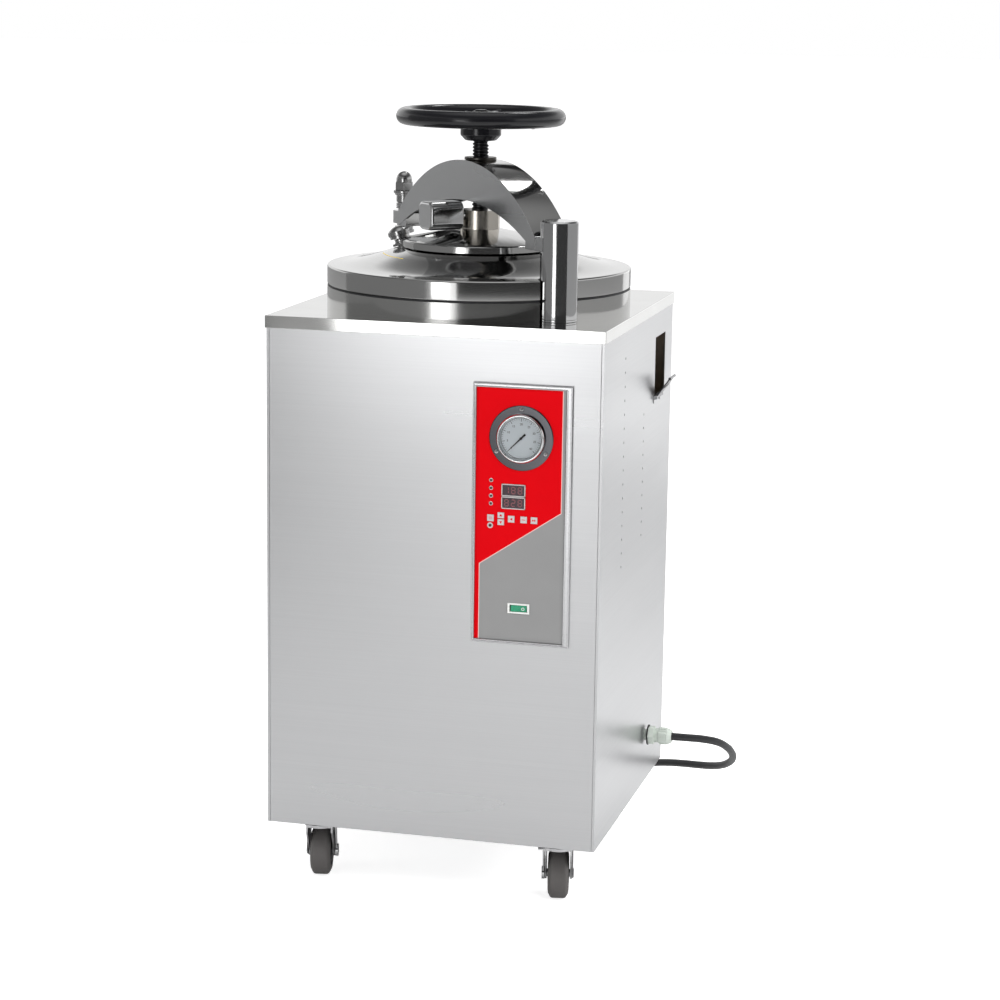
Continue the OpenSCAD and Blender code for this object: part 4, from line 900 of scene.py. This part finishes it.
def shoulder(t):
    """A point of the S-shaped shoulder between the dome, at 0, and the lid's flat edge, at 1."""
    w = BLEND_OUT - BLEND_IN
    slope_in = -BLEND_IN / math.sqrt(DOME_R * DOME_R - BLEND_IN * BLEND_IN)
    h = (1 - t) ** 2 * (1 + 2 * t) * dome_at(BLEND_IN) + t * t * (3 - 2 * t) * (SKIRT_TOP + 0.4)
    return BLEND_IN + w * t, h + w * t * (1 - t) * ((1 - t) * slope_in + 0.02 * t)


def lid_shell():
    """Pressed lid: a dome that runs out through an S-shaped shoulder to a skirt with a rolled edge."""
    outer = [(r, dome_at(r)) for r in (0, 20, 40, 60, 80, 100, 120)]
    outer += [shoulder(i / 16) for i in range(17)]
    rolled = arc(SKIRT_R - SKIRT_ROLL, SKIRT_TOP - SKIRT_ROLL, SKIRT_ROLL, 90, 0, 8)
    foot = [(SKIRT_R, 31.4), (227.2, 30.3), (194, 30.3), (194, 44), (174, 50)]
    inner = [(r, dome_at(r) - 6) for r in (150, 120, 80, 40, 0)]
    shape = lathe(outer + rolled + foot + inner, 192)
    return make("lid_shell_polished", "lid", [lid_steel], [(cut(shape, notch(10, 120)), ON_DECK, 0)],
                ["lid_shell"], 38)


def lid_seal():
    """The black gasket under the skirt, with the bead that meets the flange."""
    ring = closed_lathe([(197, 27.1), (227.3, 27.1), (226.8, 28.5), (227.3, 29.6), (197, 29.6)], 192)
    bead = closed_lathe([(210.4, 24.4), (217.6, 24.4), (217.6, 27.2), (210.4, 27.2)], 128)
    return make("lid_seal_ribbed", BODY_OF["lid_seal"], [seal_rubber],
                [(cut(ring, notch(10, 60)), ON_DECK, 0), (bead, ON_DECK, 0)], ["lid_seal"])


lid_shell()
lid_seal()
refined("chamber_vessel", [flange_steel], 0.8)
refined("lid_cover_disc", [lid_steel], 0.4)
refined("lid_boss", [nickel], 0.8)


LOCK_TURN = turned_to("Z", -135)
LOCK_H = 134.3


def interlock():
    """The pressure interlock: a rounded square housing on a round neck beside the boss."""
    w, r = 21.0, 11.0
    outline = []
    for k, (sx, sy) in enumerate(((1, 1), (-1, 1), (-1, -1), (1, -1))):
        outline += arc(sx * (w - r), sy * (w - r), r, 90 * k, 90 * k + 90, 8)
    housing = plate(outline, 38, 94)
    soften_edges(housing, 4.0, 40, 5)
    neck = lathe([(0, 30.1), (9, 30.1), (9, 38.5), (0, 38.5)], 48, 0.3)
    at = ON_DECK @ LOCK_TURN @ placed(0, 0, LOCK_H) @ OUT_RIGHT
    return make("interlock_housing_rounded", "lid", [chrome], [(housing, at, 0), (neck, at, 0)],
                ["interlock_housing"])


interlock()
dress(chrome, "interlock_pin")


def caution_band():
    """A plain yellow arc on the dome, under the safety valve."""
    parts = []
    for r0, r1, a0, a1 in ((150, 155, 196, 236), (143.5, 144.8, 198, 234)):
        bm = bmesh.new()
        verts = [bm.verts.new((r, 0, dome_at(r) + 0.12)) for r in (r0, (r0 + r1) / 2, r1)]
        edges = [bm.edges.new(pair) for pair in zip(verts, verts[1:])]
        bmesh.ops.rotate(bm, cent=(0, 0, 0), matrix=Matrix.Rotation(math.radians(a0), 3, "Z"), verts=bm.verts)
        bmesh.ops.spin(bm, geom=verts + edges, cent=(0, 0, 0), axis=(0, 0, 1), angle=math.radians(a1 - a0),
                       steps=24)
        bmesh.ops.solidify(bm, geom=bm.faces[:], thickness=0.1)
        bmesh.ops.recalc_face_normals(bm, faces=bm.faces)
        parts.append((bm, ON_DECK, 0))
    return make("caution_band", "lid", [band_yellow], parts)


caution_band()

VALVE_R = 124.4
VALVE_AZ = 175.4
ON_VALVE = (ON_DECK @ turned_to("Z", VALVE_AZ) @ placed(VALVE_R, 0, dome_at(VALVE_R))
            @ turned_to("Y", math.degrees(math.asin(VALVE_R / DOME_R))))


def safety_valve():
    """The valve's hexagon foot and neck, and the gripped cap that lifts."""
    foot = prism(6, 13.8, 0.6, 4.4, 0.6)
    neck = lathe([(0, 4), (10, 4), (10, 5.5), (9.2, 6.2), (9.2, 9.4), (10, 10.2), (10, 11), (4, 11), (4, 19),
                  (0, 19)], 64, 0.3)
    make("safety_valve_body_turned", "lid", [satin_chrome], [(foot, ON_VALVE, 0), (neck, ON_VALVE, 0)],
         ["safety_valve_body"])
    cap = lathe([(0, 19.8), (4.2, 19.8), (4.2, 11.4), (15, 11.4), (15, 15.3), (16.5, 16), (16.5, 22.3)]
                + arc(0, 9.3, 21, 38, 90, 10), 64, 0.5)
    parts = [(cap, ON_VALVE, 0)]
    for i in range(24):
        grip = block((16.0, -0.8, 16.8), (16.9, 0.8, 21.6), 0.25)
        parts.append((grip, ON_VALVE @ turned_to("Z", i * 15), 0))
    make("safety_valve_cap_gripped", "valve_cap", [satin_chrome], parts, ["safety_valve_cap"])


safety_valve()


# ---- Beam, post and lock bolt ----

SLEEVE_REACH = 28.2


def beam_finish(face):
    """Satin plates, a polished band between them, and a chromed sleeve on the post."""
    across = Vector((math.sin(math.radians(45)), math.cos(math.radians(45)), 0))
    centre = face.calc_center_median()
    pivot = AT_PIVOT.to_translation()
    if math.hypot(centre.x - pivot.x, centre.y - pivot.y) < SLEEVE_REACH:
        return 2
    return 0 if abs(face.normal.dot(across)) > 0.9 else 1


refined("beam_arch", [beam_plate, beam_band, chrome], 0.9, beam_finish, 35)
refined("post_shaft", [chrome], 0.5)
refined("spindle_nut", [nut_bronze], 0.8)

BOLT_S = 238.5
AT_BOLT = BEAM_TURN @ placed(-BOLT_S, 0, 0)


def lock_bolt():
    """The stud with its washers, spring, sleeve, hexagon nut and domed top."""
    at = ON_DECK @ AT_BOLT
    spring_h, sleeve_h = 120.3, 132.9
    nut_h = sleeve_h + 18
    stud = lathe([(0, -16), (9, -16), (9, nut_h), (0, nut_h)], 64, 0.5)
    base = prism(6, 15.5, -14, -2.3, 0.8)
    lower = lathe([(9, 85), (15, 85), (16.5, 86.5), (16.5, 90), (14.5, 90.4), (14.5, 95), (9, 95)], 64, 0.4)
    spring = sweep(helix(11.2, 3.0, 3.6, spring_h + 1.6), 1.45, 12)
    sleeve = lathe([(9, sleeve_h), (12, sleeve_h), (12, sleeve_h + 11), (14.5, sleeve_h + 11),
                    (14.5, sleeve_h + 13.6), (16.5, sleeve_h + 14), (16.5, nut_h), (9, nut_h)], 64, 0.4)
    nut = prism(6, 15.4, nut_h, nut_h + 13.4, 1.0)
    crown = lathe([(0, nut_h + 13), (12.4, nut_h + 13), (12.4, nut_h + 17.4)]
                  + arc(0, nut_h + 17.4, 12.4, 0, 90, 12), 64, 0.3)
    shapes = [(stud, 0), (base, 1), (lower, 0), (spring, 1), (sleeve, 0), (nut, 0), (crown, 0)]
    return make("lock_bolt_assembled", "cabinet", [satin_chrome, zinc], [(s, at, f) for s, f in shapes],
                ["lock_bolt"])


lock_bolt()


# ---- Spindle and handwheel ----

BOSS_TOP = 140.8
WHEEL_H = 279.0
HUB_LOW, HUB_HIGH = 243.5, 279.0
SPOKE_H = 276.0


def spindle():
    """The screw: a collar in the boss, a cut thread and a plain end in the handwheel's hub."""
    core = lathe([(0, 121), (20, 121), (20, 129), (12, 129), (12, 130.3), (9, 130.3), (9, 138.3), (12, 138.3),
                  (12, BOSS_TOP + 2), (10.2, BOSS_TOP + 4), (10.2, HUB_LOW - 2), (12, HUB_LOW - 1),
                  (12, HUB_HIGH + 1), (0, HUB_HIGH + 1)], 64, 0.3)
    tooth = thread(10.15, 12, 5, BOSS_TOP + 2.5, HUB_LOW - 0.5, 40)
    return make("spindle_threaded", "handwheel_spindle", [thread_black], [(core, ON_DECK, 0), (tooth, ON_DECK, 0)],
                ["spindle"], 40)


def handwheel():
    """Enamelled wheel: round rim, three spokes that flare into rim and hub, and a fixing nut."""
    ring_r, rim_r = 114.0, 12.5
    rim = closed_lathe(arc(ring_r, WHEEL_H, rim_r, 0, 345, 23), 160)
    hub = lathe([(11.9, HUB_LOW), (22, HUB_LOW), (24, HUB_LOW + 1), (30.5, HUB_LOW + 8), (30.5, HUB_HIGH - 4),
                 (26, HUB_HIGH), (11.9, HUB_HIGH)], 96, 1.2)
    parts = [(rim, ON_DECK, 0), (hub, ON_DECK, 0)]
    start, end = 22, ring_r - 6
    length = end - start
    outline = [(0, 0), (11, 0), (9.2, 6), (8.2, 16), (7.6, length * 0.5), (7.8, length - 14), (9.0, length - 6),
               (11, length), (0, length)]
    for a in (90, 210, 330):
        at = ON_DECK @ turned_to("Z", a) @ placed(start, 0, SPOKE_H) @ OUT_RIGHT
        parts.append((lathe(outline, 40, 0.3, 50), at, 0))
    parts.append((lathe([(12, HUB_HIGH - 0.5), (19, HUB_HIGH - 0.5), (19, HUB_HIGH + 1.6), (0, HUB_HIGH + 1.6)],
                        64, 0.4), ON_DECK, 1))
    parts.append((prism(6, 15, HUB_HIGH + 1.4, HUB_HIGH + 8, 1.0), ON_DECK, 1))
    parts.append((lathe([(0, HUB_HIGH + 7), (9, HUB_HIGH + 7), (9, HUB_HIGH + 9), (7.8, HUB_HIGH + 10),
                         (0, HUB_HIGH + 10)], 48, 0.3), ON_DECK, 1))
    return make("handwheel_enamelled", "handwheel_spindle", [enamel_black, thread_black], parts,
                ["handwheel"])


spindle()
handwheel()


# ---- Casters ----

# The rear casters are left turned a quarter further than the front ones
CASTER_TURN = {"f": turned_to("Z", 12), "b": turned_to("Z", 102)}
TYRE_W = 32

refined("caster_plates", [zinc], 0.4)


def caster_wheel(corner):
    """A tyre with a crowned tread, and a plastic hub with ribs."""
    node = "caster_wheel_" + corner
    centre = mid(node)
    at = placed(*centre) @ CASTER_TURN[corner[0]] @ OUT_RIGHT
    w = TYRE_W / 2
    tyre = closed_lathe([(24, -w + 3), (26, -w + 0.4), (29.5, -w + 0.8)] + arc(32.5, 8 - w, 5, -65, 0, 6)
                        + arc(32.5, w - 8, 5, 0, 65, 6) + [(29.5, w - 0.8), (26, w - 0.4), (24, w - 3)], 96)
    hub = closed_lathe([(6.2, -w), (15, -w), (17, -w + 1), (18.5, -w + 3), (24.2, -w + 3), (24.2, w - 3),
                        (18.5, w - 3), (17, w - 1), (15, w), (6.2, w)], 72, 0.4)
    parts = [(tyre, at, 0), (hub, at, 1)]
    for i in range(8):
        for side in (-1, 1):
            rib = block((17.5, -0.9, side * (w - 2.4) - 1.2), (24, 0.9, side * (w - 2.4) + 1.2), 0.3)
            parts.append((rib, at @ turned_to("Z", i * 45), 1))
    return make(node + "_moulded", "wheel_" + corner, [tyre_rubber, guard_black], parts, [node])


def caster_guards(corner):
    """Thin domed dust guards outside the fork's legs, and the axle's nut."""
    body = "fork_" + corner
    axle = placed(*mid("caster_wheel_" + corner)) @ CASTER_TURN[corner[0]]
    inner = -1 if corner.endswith("r") else 1
    parts = []
    for side in (-1, 1):
        at = axle @ placed(side * 20.05, 0, 18) @ turned_to("Y", 90 * side)
        dome = lathe([(0, 1.7), (16, 1.5), (23, 0.9), (26, 0.0), (0, 0.0)], 64, 0.2)
        bmesh.ops.scale(dome, vec=(1.0, 0.86, 1), verts=dome.verts)
        parts.append((dome, at, 0))
        cap = prism(6, 7.5, 0, 5.0 if side == inner else 3.0, 0.5)
        parts.append((cap, axle @ placed(side * 20, 0, 0) @ turned_to("Y", 90 * side), 1))
    return make("caster_guards_" + corner, body, [guard_black, zinc], parts)


for corner in ("fr", "fl", "br", "bl"):
    refined("caster_fork_" + corner, [zinc], 0.5)
    caster_wheel(corner)
    caster_guards(corner)
for corner in ("fr", "fl"):
    refined("brake_lever_" + corner, [chrome], 0.4)


# ---- Floor and light ----

# Light that the floor adds where the camera sees it straight, so that it is as white as the backdrop
FLOOR_GLOW = 0.75


def floor():
    """A pale floor, wide enough to meet the backdrop."""
    bm = bmesh.new()
    bmesh.ops.create_grid(bm, x_segments=4, y_segments=4, size=40)
    mesh = bpy.data.meshes.new("floor")
    bm.to_mesh(mesh)
    bm.free()
    paint = Surface("pale floor", (0.84, 0.84, 0.84), rough=0.9)
    paint.set("Emission Color", (1, 1, 1, 1))
    straight = paint.nodes.new("ShaderNodeLightPath").outputs["Is Camera Ray"]
    paint.link(paint.spread(straight, 0, FLOOR_GLOW, 0, 1), paint.shader.inputs["Emission Strength"])
    mesh.materials.append(paint.material)
    ground = bpy.data.objects.new("floor", mesh)
    bpy.context.collection.objects.link(ground)


def studio_world():
    """A bright room: white walls, a darker band above them, and a lit ceiling."""
    world = bpy.data.worlds.new("studio")
    world.use_nodes = True
    nodes, links = world.node_tree.nodes, world.node_tree.links
    where = nodes.new("ShaderNodeTexCoord")
    split = nodes.new("ShaderNodeSeparateXYZ")
    ramp = nodes.new("ShaderNodeValToRGB")
    links.new(where.outputs["Generated"], split.inputs["Vector"])
    links.new(split.outputs["Z"], ramp.inputs["Fac"])
    links.new(ramp.outputs["Color"], nodes["Background"].inputs["Color"])
    stops = [(0.0, 1.0), (0.32, 1.0), (0.44, 0.34), (0.60, 0.14), (0.82, 0.16), (0.94, 0.7), (1.0, 1.0)]
    ramp.color_ramp.elements[0].position, ramp.color_ramp.elements[1].position = 0.0, 1.0
    for at, _ in stops[1:-1]:
        ramp.color_ramp.elements.new(at)
    for element, (_, level) in zip(ramp.color_ramp.elements, stops):
        element.color = (level, level, level, 1)
    nodes["Background"].inputs["Strength"].default_value = 1.0
    bpy.context.scene.world = world


def flag(name, start, end, lowest, highest, level):
    """A curved screen round the machine, seen only in reflections, from one angle to another."""
    bm = bmesh.new()
    radius, steps = 2.5, 24
    columns = []
    for i in range(steps + 1):
        a = math.radians(start + (end - start) * i / steps)
        columns.append([bm.verts.new((radius * math.cos(a), radius * math.sin(a), z)) for z in (lowest, highest)])
    for left, right in zip(columns, columns[1:]):
        bm.faces.new((left[0], right[0], right[1], left[1]))
    mesh = bpy.data.meshes.new(name)
    bm.to_mesh(mesh)
    bm.free()
    cloth = Surface(name, (0, 0, 0), rough=1.0, specular_ior_level=0.0)
    cloth.set("Emission Color", (level, level, level, 1))
    cloth.set("Emission Strength", 1.0)
    mesh.materials.append(cloth.material)
    screen = bpy.data.objects.new(name, mesh)
    screen.visible_camera = screen.visible_diffuse = screen.visible_shadow = False
    bpy.context.collection.objects.link(screen)


def softbox(name, at, aim, size, power, mirrored=True):
    """A rectangular lamp, which metal shows unless mirrored is off."""
    data = bpy.data.lights.new(name, "AREA")
    data.shape = "RECTANGLE"
    data.size, data.size_y = size
    data.energy = power
    lamp = bpy.data.objects.new(name, data)
    lamp.location = at
    lamp.visible_glossy = mirrored
    lamp.visible_camera = False
    lamp.rotation_mode = "QUATERNION"
    lamp.rotation_quaternion = (Vector(aim) - Vector(at)).to_track_quat("-Z", "Y")
    bpy.context.collection.objects.link(lamp)


floor()
studio_world()
flag("dark screen", -91, -29, 0.50, 2.2, 0.05)
flag("grey screen", -190, -113, 0.02, 2.0, 0.26)
softbox("panel light", (-0.62, -2.7, 0.78), (0, -0.25, 0.75), (0.6, 0.7), 4.5)
softbox("panel side light", (-0.20, -2.5, 0.25), (0.2, -0.25, 0.5), (0.35, 1.0), 1.3)
softbox("side light", (1.1, 3.4, 0.6), (0.25, 0, 0.6), (1.2, 1.2), 3.4)
softbox("beam glint", (0.20, 1.90, 3.24), (0.1, -0.1, 1.05), (0.5, 0.35), 5)
softbox("inside light", (2.2, 0.75, 1.05), (0.24, 0.16, 0.76), (0.3, 0.3), 16, False)
softbox("key", (2.6, -2.6, 3.0), (0, 0, 0.7), (1.6, 1.6), 75, False)
softbox("fill", (-3.4, -1.8, 2.2), (0, 0, 0.6), (1.4, 2.0), 25, False)
softbox("top", (0.0, 0.6, 4.2), (0, 0, 0.8), (2.4, 2.4), 90, False)
bpy.context.scene.view_settings.view_transform = "Standard"
